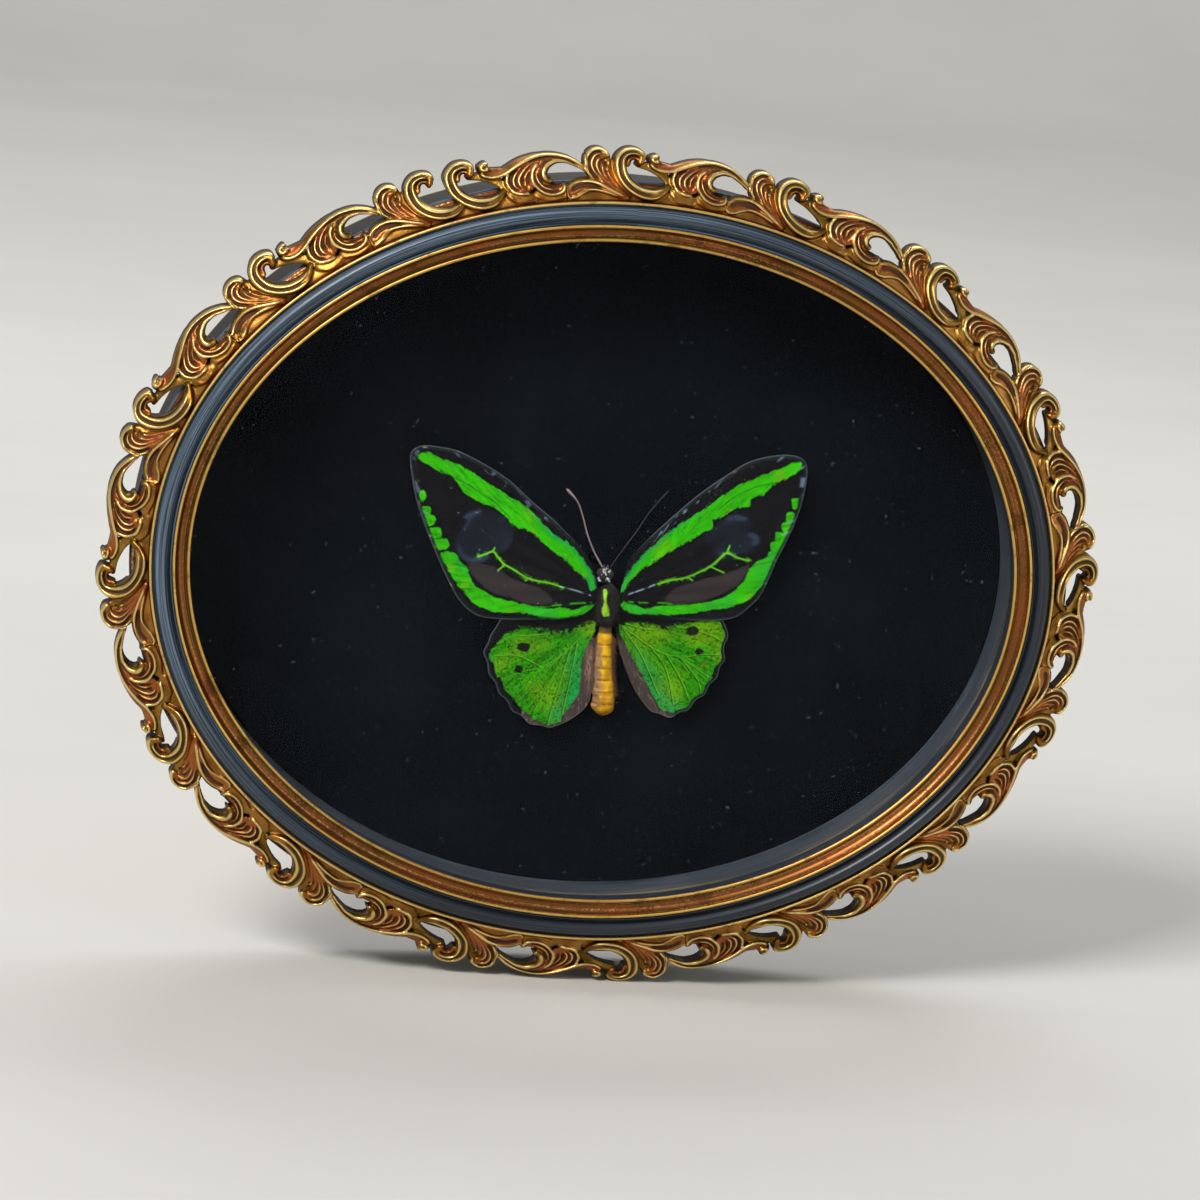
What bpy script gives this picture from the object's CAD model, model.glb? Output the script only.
import math

import bpy
import numpy as np
from mathutils import Matrix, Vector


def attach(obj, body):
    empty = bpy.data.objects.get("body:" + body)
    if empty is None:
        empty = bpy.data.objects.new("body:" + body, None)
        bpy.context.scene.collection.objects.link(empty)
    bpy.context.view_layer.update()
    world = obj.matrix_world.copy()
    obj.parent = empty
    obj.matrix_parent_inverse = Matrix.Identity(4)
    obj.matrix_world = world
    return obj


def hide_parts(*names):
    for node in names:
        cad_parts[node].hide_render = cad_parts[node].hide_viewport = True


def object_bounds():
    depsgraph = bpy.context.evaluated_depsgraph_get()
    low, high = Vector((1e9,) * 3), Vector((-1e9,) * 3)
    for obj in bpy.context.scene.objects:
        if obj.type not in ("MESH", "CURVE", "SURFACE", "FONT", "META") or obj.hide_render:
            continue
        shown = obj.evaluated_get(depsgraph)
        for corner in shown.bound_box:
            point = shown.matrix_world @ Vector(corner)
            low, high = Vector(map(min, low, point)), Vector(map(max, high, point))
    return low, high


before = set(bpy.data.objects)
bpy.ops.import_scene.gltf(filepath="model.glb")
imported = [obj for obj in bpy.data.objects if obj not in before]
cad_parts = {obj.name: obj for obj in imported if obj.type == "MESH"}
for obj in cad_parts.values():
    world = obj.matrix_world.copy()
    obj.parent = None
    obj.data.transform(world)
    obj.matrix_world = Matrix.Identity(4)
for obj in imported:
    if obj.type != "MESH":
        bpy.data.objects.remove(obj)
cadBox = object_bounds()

# A spread birdwing in an oval gilt frame. Every shape is worked out in millimetres on the lying
# frame: across, up the frame, and towards the viewer, with the rear rim at nought.
mm = 0.001  # a millimetre in metres
hangHeight = 112.0
sight = {"halfWidth": 127.0, "halfHeight": 102.3, "ridge": 40.0}


def hung(places):
    # lying (across, up, towards) in mm becomes hanging (x, y, z) in metres
    return np.stack([places[..., 0], -places[..., 2], places[..., 1] - hangHeight], -1) * mm


def linear(code):
    # a colour such as "c8a04a" as the linear numbers that shaders take
    parts = np.array([int(code[at : at + 2], 16) for at in (0, 2, 4)]) / 255.0
    return np.where(parts > 0.04045, ((parts + 0.055) / 1.055) ** 2.4, parts / 12.92)


def plain(code, count):
    # one colour for each of a number of places
    return np.tile(linear(code), (count, 1))


def blend(low, high, share):
    # two colours, or two arrays of them, mixed by a share from 0 to 1
    return low + (high - low) * np.asarray(share)[..., None]


def between(value, low, high):
    # 0 below low, 1 above high and a smooth step from one to the other
    share = np.clip((value - low) / (high - low), 0.0, 1.0)
    return share * share * (3.0 - 2.0 * share)


def fuzz(x, y, size, seed):
    # smooth random heights from 0 to 1 on a lattice of the given size, which repeats far off
    many = 64
    table = np.random.default_rng(seed).random((many, many))
    gx, gy = np.asarray(x) / size, np.asarray(y) / size
    i, j = np.floor(gx).astype(int), np.floor(gy).astype(int)
    fx, fy = gx - i, gy - j
    fx, fy = fx * fx * (3 - 2 * fx), fy * fy * (3 - 2 * fy)
    here, east, north = i % many, (i + 1) % many, (j + 1) % many
    low = table[here, j % many] * (1 - fx) + table[east, j % many] * fx
    high = table[here, north] * (1 - fx) + table[east, north] * fx
    return low * (1 - fy) + high * fy


def curveThrough(points, count, closed=False):
    # a Catmull-Rom curve through the points, in steps of even length
    p = np.asarray(points, float)
    before, after = (p[-1:], p[:2]) if closed else (2 * p[:1] - p[1:2], 2 * p[-1:] - p[-2:-1])
    p = np.vstack([before, p, after])
    spans, perSpan = len(p) - 3, 24
    at = np.linspace(0.0, spans - 1e-9, perSpan * spans)
    k, t = at.astype(int), (at % 1.0)[:, None]
    a, b, c, d = p[k], p[k + 1], p[k + 2], p[k + 3]
    bend, twist = 2 * a - 5 * b + 4 * c - d, 3 * b - a - 3 * c + d
    line = 0.5 * (2 * b + (c - a) * t + bend * t**2 + twist * t**3)
    run = np.concatenate([[0.0], np.cumsum(np.linalg.norm(np.diff(line, axis=0), axis=1))])
    even = np.linspace(0.0, run[-1], count, endpoint=not closed)
    return np.stack([np.interp(even, run, line[:, axis]) for axis in range(p.shape[1])], -1)


def nearest(x, y, line):
    # distance to a line of points, and the share of its length at which the nearest place lies
    step = np.diff(line, axis=0)
    px, py = x[..., None] - line[:-1, 0], y[..., None] - line[:-1, 1]
    share = np.clip((px * step[:, 0] + py * step[:, 1]) / ((step**2).sum(1) + 1e-12), 0.0, 1.0)
    away = np.hypot(px - share * step[:, 0], py - share * step[:, 1])
    best = away.argmin(-1)[..., None]
    along = (best + np.take_along_axis(share, best, -1)) / len(step)
    return np.take_along_axis(away, best, -1)[..., 0], along[..., 0]


def insideOf(x, y, loop):
    # distance to a closed loop, positive inside it and negative outside
    ring = np.vstack([loop, loop[:1]])
    away = nearest(x, y, ring)[0]
    ax, ay, bx, by = ring[:-1, 0], ring[:-1, 1], ring[1:, 0], ring[1:, 1]
    px, py = x[..., None], y[..., None]
    cross = ((ay > py) != (by > py)) & (px < (bx - ax) * (py - ay) / (by - ay + 1e-12) + ax)
    return np.where(cross.sum(-1) % 2 == 1, away, -away)


def ovalTable():
    # arc length round the sight oval against its turn, clockwise from the top
    turn = np.linspace(0.0, 2.0 * math.pi, 4001)
    x, y = sight["halfWidth"] * np.sin(turn), sight["halfHeight"] * np.cos(turn)
    return turn, np.concatenate([[0.0], np.cumsum(np.hypot(np.diff(x), np.diff(y)))])


ovalTurn, ovalArc = ovalTable()
ovalLength = float(ovalArc[-1])


def onOval(arc, out):
    # the place a given arc length round the sight oval and a given distance outside it
    turn = np.interp(np.asarray(arc) % ovalLength, ovalArc, ovalTurn)
    nx, ny = np.sin(turn) / sight["halfWidth"], np.cos(turn) / sight["halfHeight"]
    size = np.hypot(nx, ny)
    x = sight["halfWidth"] * np.sin(turn) + out * nx / size
    return x, sight["halfHeight"] * np.cos(turn) + out * ny / size


def gridFaces(rows, columns, wrapRows=False, wrapColumns=False, start=0):
    # four-sided faces over a grid of vertices, joined up where a direction closes on itself
    grid = start + np.arange(rows * columns).reshape(rows, columns)
    grid = np.vstack([grid, grid[:1]]) if wrapRows else grid
    grid = np.hstack([grid, grid[:, :1]]) if wrapColumns else grid
    return np.stack([grid[:-1, :-1], grid[:-1, 1:], grid[1:, 1:], grid[1:, :-1]], -1).reshape(-1, 4)


def putMesh(name, places, faces, finish, shades=None, corners=None):
    # a closed mesh from places in mm and lists of faces, its faces turned to look outwards
    faces = [np.asarray(part) for part in faces]
    world = hung(np.asarray(places, float))
    volume = sum(
        np.einsum("ij,ij->", world[part[:, 0]], np.cross(world[part[:, k]], world[part[:, k + 1]]))
        for part in faces
        for k in range(1, part.shape[1] - 1)
    )
    if volume < 0:
        faces = [part[:, ::-1] for part in faces]
        corners = None if corners is None else corners[:, ::-1]
    order = np.concatenate([part.ravel() for part in faces]).astype(np.int32)
    sizes = np.concatenate([np.full(len(part), part.shape[1]) for part in faces])
    mesh = bpy.data.meshes.new(name)
    mesh.vertices.add(len(world))
    mesh.vertices.foreach_set("co", world.astype(np.float32).ravel())
    mesh.loops.add(len(order))
    mesh.loops.foreach_set("vertex_index", order)
    mesh.polygons.add(len(sizes))
    starts = np.concatenate([[0], np.cumsum(sizes)[:-1]]).astype(np.int32)
    mesh.polygons.foreach_set("loop_start", starts)
    mesh.polygons.foreach_set("use_smooth", np.full(len(sizes), True))
    if corners is not None:
        layer = mesh.uv_layers.new(name="UVMap")
        layer.data.foreach_set("uv", corners.astype(np.float32).ravel())
    for shade, values in (shades or {}).items():
        values = np.asarray(values, np.float32)
        if values.ndim == 2:
            layer = mesh.attributes.new(shade, "FLOAT_COLOR", "POINT")
            solid = np.ones((len(values), 1), np.float32)
            layer.data.foreach_set("color", np.hstack([values, solid]).ravel())
        else:
            mesh.attributes.new(shade, "FLOAT", "POINT").data.foreach_set("value", values)
    mesh.update(calc_edges=True)
    mesh.validate()
    mesh.materials.append(finish.material)
    piece = bpy.data.objects.new(name, mesh)
    bpy.context.scene.collection.objects.link(piece)
    return piece


def fit(piece, slot, *nodes):
    # the piece rides on the frame, takes its finish from a slot and stands for the named solids
    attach(piece, "root")
    if nodes:
        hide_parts(*nodes)
    return piece


class Value:
    # a socket in a material's tree, so that a pattern is written as a sum
    def __init__(self, finish, socket):
        self.finish, self.socket = finish, socket

    def worked(self, operation, *others):
        return self.finish.node("Math", {"operation": operation}, dict(enumerate(others)))

    def __add__(self, other):
        return self.worked("ADD", self, other)

    def __mul__(self, other):
        return self.worked("MULTIPLY", self, other)

    def __sub__(self, other):
        return self.worked("SUBTRACT", self, other)

    def __rsub__(self, other):
        return self.worked("SUBTRACT", other, self)

    __radd__ = __add__
    __rmul__ = __mul__


class Finish:
    # one material: nodes are added by type, with their settings and then their inputs
    def __init__(self, name):
        self.material = bpy.data.materials.new(name)
        self.material.use_nodes = True
        self.tree = self.material.node_tree
        self.tree.nodes.clear()

    def node(self, kind, settings=None, inputs=None, out=0):
        made = self.tree.nodes.new("ShaderNode" + kind)
        for key, value in (settings or {}).items():
            setattr(made, key, value)
        for key, value in (inputs or {}).items():
            if isinstance(value, Value):
                self.tree.links.new(value.socket, made.inputs[key])
            else:
                made.inputs[key].default_value = value
        return Value(self, made.outputs[out])

    def where(self, stretch=(1.0, 1.0, 1.0), byArc=False):
        # the piece's own coordinates, in metres, or its map of arc and girth, stretched
        place = self.node("UVMap") if byArc else self.node("TexCoord", out=3)
        return self.node("VectorMath", {"operation": "MULTIPLY"}, {0: place, 1: stretch})

    def noise(self, scale, detail=2.0, rough=0.5, stretch=(1.0, 1.0, 1.0), byArc=False):
        place = self.where(stretch, byArc)
        given = {"Vector": place, "Scale": scale, "Detail": detail, "Roughness": rough}
        return self.node("TexNoise", None, given)

    def shade(self, name, out=2):
        return self.node("Attribute", {"attribute_name": name}, None, out)

    def step(self, value, low, high, start=0.0, end=1.0):
        settings = {"interpolation_type": "SMOOTHSTEP"}
        return self.node("MapRange", settings, {0: value, 1: low, 2: high, 3: start, 4: end})

    def mix(self, share, low, high, how="MIX"):
        low, high = ((*c, 1.0) if not isinstance(c, Value) else c for c in (low, high))
        settings = {"data_type": "RGBA", "blend_type": how}
        return self.node("Mix", settings, {0: share, 6: low, 7: high}, 2)

    def bump(self, height, strength, distance):
        return self.node("Bump", None, {"Height": height, "Strength": strength, "Distance": distance})

    def ready(self, **inputs):
        # the shader itself, with its sockets named in one word
        sockets = (
            "Base Color", "Metallic", "Roughness", "IOR", "Normal", "Specular IOR Level",
            "Specular Tint", "Transmission Weight", "Coat Weight", "Coat Roughness",
        )
        names = {key.lower().replace(" ", ""): key for key in sockets}
        given = {}
        for key, value in inputs.items():
            plain = not isinstance(value, Value)
            given[names[key.lower()]] = (*value, 1.0) if plain and np.ndim(value) == 1 else value
        shader = self.node("BsdfPrincipled", None, given)
        end = self.tree.nodes.new("ShaderNodeOutputMaterial")
        self.tree.links.new(shader.socket, end.inputs[0])
        return self


# Camera, floor and lamps; a lamp has its power, size, place, aim and colour
studio = {
    "eye": (-0.20152, -1.46723, 0.14816),
    "aim": (-0.0014, -0.0400, -0.1197),
    "roll": 4.77,  # degrees
    "lens": 144.4,
    "sensor": 36.0,
    "farthest": 60.0,
    "floor": "c9c7c2",
    "air": (0.80, 0.82, 0.85, 1.0),
    "airPower": 0.36,
}
middle = (0.0, -0.04, -0.112)
studio["lamps"] = {
    "keyLamp": (70.0, (1.0, 0.8), (-1.35, -1.55, 1.75), middle, (1.0, 0.985, 0.96)),
    "fillLamp": (8.0, (0.9, 0.9), (1.6, -1.3, 0.35), middle, (0.93, 0.96, 1.0)),
    "rimLamp": (10.0, (1.4, 0.5), (0.3, 1.0, 1.3), middle, (0.96, 0.98, 1.0)),
    "backdropLamp": (60.0, (3.0, 1.0), (0.0, 1.3, 2.6), (0.0, 4.2, 0.2), (1.0, 1.0, 1.0)),
}


def aimed(name, data, eye, aim, roll=0.0):
    # an object at eye whose -Z axis points at aim, rolled about that axis
    made = bpy.data.objects.new(name, data)
    bpy.context.scene.collection.objects.link(made)
    ahead = np.array(aim) - np.array(eye)
    ahead = ahead / np.linalg.norm(ahead)
    right = np.cross(ahead, (0.0, 0.0, 1.0))
    right = right / np.linalg.norm(right)
    up = np.cross(right, ahead)
    wide, tall = math.cos(math.radians(roll)), math.sin(math.radians(roll))
    right, up = right * wide + up * tall, up * wide - right * tall
    frameOf = np.eye(4)
    frameOf[:3, 0], frameOf[:3, 1], frameOf[:3, 2], frameOf[:3, 3] = right, up, -ahead, eye
    made.matrix_world = Matrix(frameOf.tolist())
    return made


view = bpy.data.cameras.new("view")
view.lens, view.sensor_width, view.clip_end = studio["lens"], studio["sensor"], studio["farthest"]
bpy.context.scene.camera = aimed("view", view, studio["eye"], studio["aim"], studio["roll"])
bpy.context.scene.view_settings.view_transform = "Standard"


for name, (power, size, eye, aim, colour) in studio["lamps"].items():
    light = bpy.data.lights.new(name, "AREA")
    light.shape, light.size, light.size_y = "RECTANGLE", *size
    light.energy, light.color = power, colour
    aimed(name, light, eye, aim)

world = bpy.data.worlds.new("studioAir")
bpy.context.scene.world = world
world.use_nodes = True
world.node_tree.nodes["Background"].inputs[0].default_value = studio["air"]
world.node_tree.nodes["Background"].inputs[1].default_value = studio["airPower"]


def paleFloor():
    # a profile of distance and height, flat and then curving up, turned round the object
    gap, flat, curve, top, around = 0.3, 3200.0, 1400.0, 2600.0, 72
    level = (cadBox[0][2] + hangHeight * mm) / mm - gap
    bend = np.linspace(0.0, math.pi / 2, 14)
    out = np.concatenate([[0.0, 300.0, 1200.0], flat + curve * np.sin(bend), [flat + curve]])
    up = np.concatenate([[0.0, 0.0, 0.0], curve - curve * np.cos(bend), [top]])
    turn = np.linspace(0.0, 2.0 * math.pi, around, endpoint=False)[:, None]
    x, depth = np.sin(turn) * out[1:], np.cos(turn) * out[1:]
    rim = np.stack([x, np.broadcast_to(level + up[1:], x.shape), depth], -1).reshape(-1, 3)
    count = len(out) - 1
    hub = np.array([[0.0, level, 0.0]])
    spokes = np.arange(around) * count
    fans = np.stack([np.full(around, len(rim)), spokes, np.roll(spokes, -1)], -1)
    finish = Finish("paleFloor")
    tone = finish.step(finish.noise(3.0, 4.0, 0.6), 0.3, 0.7)
    paint = linear(studio["floor"])
    finish.ready(basecolor=finish.mix(tone, paint * 0.97, paint * 1.03), roughness=0.85)
    putMesh("floor", np.vstack([rim, hub]), [gridFaces(around, count, True), fans], finish)


paleFloor()
print("stage, lamps and camera set")


def archOf(out, up, half, tall):
    # points on a half ellipse that stands on its middle (out, up)
    turns = np.linspace(0, math.pi, 15)
    return [(out - half * math.cos(turn), up + tall * math.sin(turn)) for turn in turns]


# The moulding: named strokes of (out from the sight ridge, up from the ridge plane) in order round
# the section. Each has a count of steps, its cover of gilt, black paint or neither, and the colour
# of the gold or the bare side
moulding = {
    "steps": 720,
    "strokes": {
        "wall": ([(0.0, -8.0), (0.14, -6.0), (0.13, -3.4), (0.1, -2.0)], 12, "black", "6a5a44"),
        "lipUnder": ([(0.1, -2.0), (0.0, -1.1)], 3, "gilt", "7a5428"),
        "lip": ([(0.0, -1.1), (-0.38, -0.85), (-0.46, -0.4), (-0.2, -0.02), (0.15, 0.02),
          (0.45, -0.2), (0.6, -0.55)], 12, "gilt", "d8ae5c"),
        "quirk": ([(0.6, -0.55), (0.75, -0.95), (1.05, -1.08), (1.35, -0.88),
          (1.45, -0.7)], 7, "gilt", "6e5524"),
        "cove": ([(1.45, -0.7), (2.2, -0.62), (2.9, -0.25), (3.5, 0.45), (3.9, 1.3),
          (4.05, 1.85)], 16, "gilt", "80522a"),
        "innerFillet": ([(4.05, 1.85), (4.15, 2.08), (4.45, 2.15), (4.75, 2.05),
          (4.88, 1.8)], 8, "gilt", "e6bc62"),
        "step": ([(4.88, 1.8), (4.95, 1.42), (5.05, 1.45)], 4, "black", "3a2a14"),
        "bead": ([(5.05, 1.45), (5.15, 1.9), (5.32, 2.04), (5.5, 1.85),
          (5.6, 1.45)], 7, "black", "8c7434"),
        "fluteIn": ([(5.6, 1.45), (5.8, 0.95), (6.1, 0.85), (6.4, 1.2)], 6, "black", "4a3a1a"),
        "torus": (archOf(8.35, 1.2, 1.95, 2.3), 26, "black", "8c7434"),
        "fluteOut": ([(10.3, 1.2), (10.55, 0.8), (10.85, 0.85),
          (11.0, 1.25)], 6, "black", "4a3a1a"),
        "outerFillet": ([(11.0, 1.25), (11.06, 1.85), (11.25, 2.1), (11.6, 2.1), (11.8, 1.9),
          (11.86, 1.4)], 9, "gilt", "e8c274"),
        "fall": ([(11.86, 1.4), (11.9, -3.4)], 6, "gilt", "7a5224"),
        "seat": ([(11.9, -3.4), (14.6, -4.85), (17.3, -6.3)], 12, "gilt", "4a2c12"),
        "shoulder": ([(17.3, -6.3), (17.6, -7.0), (17.5, -8.4), (16.9, -9.6),
          (16.5, -10.4)], 10, "black", "3a2410"),
        "side": ([(16.5, -10.4), (16.5, -39.2)], 16, "bare", "080605"),
        "back": ([(16.5, -39.2), (16.2, -39.9), (15.6, -40.0), (7.2, -40.0),
          (6.5, -39.6)], 12, "bare", "b08a5c"),
        "rebate": ([(6.5, -39.6), (6.5, -8.0)], 12, "bare", "a8845a"),
        "ledge": ([(6.5, -8.0), (3.0, -8.0), (0.0, -8.0)], 5, "bare", "3a2614"),
    },
}


def mouldingFinish():
    # gilt with worn paint over it, its edges frayed by noise, and bare wood behind
    gilt = Finish("gildedMoulding")
    ground, paint, wood = gilt.shade("ground", 0), gilt.shade("paint"), gilt.shade("wood")
    streak = gilt.noise(1.0, 3.0, 0.6, (9.0, 900.0, 1.0), byArc=True)
    grain = gilt.noise(1400.0, 3.0, 0.6)
    cloud = gilt.noise(55.0, 3.0, 0.55)
    fray = gilt.noise(700.0, 2.0, 0.6)
    copper = gilt.step(cloud * 0.55 + streak * 0.6, 0.50, 0.72)
    gold = gilt.mix(copper * 0.55, ground, gilt.mix(0.55, ground, linear("b8562a")))
    bright = gilt.step(streak + grain * 0.5, 0.78, 1.0)
    gold = gilt.mix(bright * 0.6, gold, linear("f2d48c"))
    rub = gilt.step(gilt.noise(120.0, 4.0, 0.65) + grain * 0.3, 0.46, 0.62)
    gold = gilt.mix((1 - rub) * 0.5, gold, linear("2a1408"))
    brush = gilt.noise(1.0, 4.0, 0.7, (14.0, 2600.0, 1.0), byArc=True)
    brushed = gilt.step(brush, 0.40, 0.62) * gilt.shade("dusty")
    ink = gilt.mix(brushed, linear("090e16"), linear("62788e"))
    dust = gilt.step(gilt.noise(2600.0, 1.0, 0.5), 0.70, 0.78) * gilt.step(cloud, 0.45, 0.65)
    ink = gilt.mix(dust * 0.35, ink, linear("8a8f94"))
    cover = gilt.step(paint + (fray - 0.5) * 0.55 + (cloud - 0.5) * 0.35, 0.42, 0.58)
    scratch = gilt.step(gilt.noise(1.0, 2.0, 0.5, (22.0, 1500.0, 1.0), byArc=True), 0.735, 0.76)
    cover = cover * (1 - wood) * (1 - scratch * 0.55 * gilt.step(cloud, 0.5, 0.6))
    front = gilt.mix(cover, gold, ink)
    rings = gilt.noise(1.0, 4.0, 0.6, (30.0, 700.0, 1.0), byArc=True)
    timber = gilt.mix(gilt.step(rings, 0.35, 0.7), ground, gilt.mix(0.45, ground, (0.0, 0.0, 0.0)))
    base = gilt.mix(wood, front, timber)
    metal = (1 - cover) * (1 - wood) * 0.92
    rough = 0.33 + grain * 0.16 + (1 - rub) * 0.12
    rough = rough * (1 - wood) + wood * 0.6 + cover * 0.06
    height = streak * 0.35 + brush * cover * 0.5 + grain * 0.3 + cover * 0.5 + rings * wood * 0.4
    coat = cover * (1 - wood) * 0.35
    relief = gilt.bump(height, 0.55, 0.00012)
    gilt.ready(
        basecolor=base, metallic=metal, roughness=rough, normal=relief,
        specularIorLevel=0.35, coatweight=coat, coatroughness=0.24,
    )
    return gilt


def ringMap(steps, out, up):
    # the (arc, girth) in metres of every face corner of a section carried round the oval
    girth = np.hypot(np.diff(out, append=out[0]), np.diff(up, append=up[0]))
    run = np.concatenate([[0.0], np.cumsum(girth)])
    i, j = np.meshgrid(np.arange(steps), np.arange(len(out)), indexing="ij")
    ahead = ((0, 0), (0, 1), (1, 1), (1, 0))
    corners = [np.stack([(i + a) * ovalLength / steps, run[j + b]], -1) for a, b in ahead]
    return np.stack(corners, -2).reshape(-1, 4, 2) * mm


def makeMoulding():
    # the strokes joined into one section, carried round the oval at even arc lengths
    out, up, paint, ground, wood = [], [], [], [], []
    for points, count, cover, colour in moulding["strokes"].values():
        line = curveThrough(points, count + 1) if len(points) > 2 else np.linspace(*points, count + 1)
        line = line[:-1]
        out.append(line[:, 0])
        up.append(line[:, 1])
        paint.append(np.full(count, 1.0 * (cover == "black")))
        wood.append(np.full(count, 1.0 * (cover == "bare")))
        ground.append(plain(colour, count))
    out, up, paint, wood = (np.concatenate(part) for part in (out, up, paint, wood))
    ground = np.vstack(ground)
    steps, girth = moulding["steps"], len(out)
    arc = np.arange(steps) * ovalLength / steps
    x, y = onOval(arc[:, None], out[None, :])
    # the hand-run face swells and dips by a few hundredths
    sway = 0.05 * np.sin(arc / 19.0) + 0.10 * (fuzz(arc, 0 * arc, 23.0, 3) - 0.5)
    z = sight["ridge"] + up[None, :] + sway[:, None] * (up > -3.0)[None, :]
    # brown toning lies in the cove beside the fillet, most of all at the top and the left
    lap = 2 * np.pi * arc / ovalLength
    side = between(-np.cos(lap - 2 * np.pi * 0.36), -0.4, 0.9)
    deep = np.exp(-(((out - 3.55) / 0.45) ** 2)) * (up < 2.0) * (out < 5.0)
    tone = blend(ground[None], linear("3a2010")[None, None], side[:, None] * deep[None, :] * 0.75)
    # pale dust clings to the paint's brush marks, most of all at the upper left
    dusty = 0.12 + 0.88 * between(np.cos(lap - 2 * np.pi * 0.87), -0.5, 1.0)
    shades = {
        "dusty": np.repeat(dusty, girth),
        "ground": tone.reshape(-1, 3),
        "paint": np.tile(paint, steps),
        "wood": np.tile(wood, steps),
    }
    places = np.stack([x, y, z], -1).reshape(-1, 3)
    faces = [gridFaces(steps, girth, True, True)]
    piece = putMesh("mouldingRing", places, faces, mouldingFinish(), shades, ringMap(steps, out, up))
    fit(piece, "gilt_moulding", "frame_moulding")


makeMoulding()
print("moulding carried round the oval")


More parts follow.
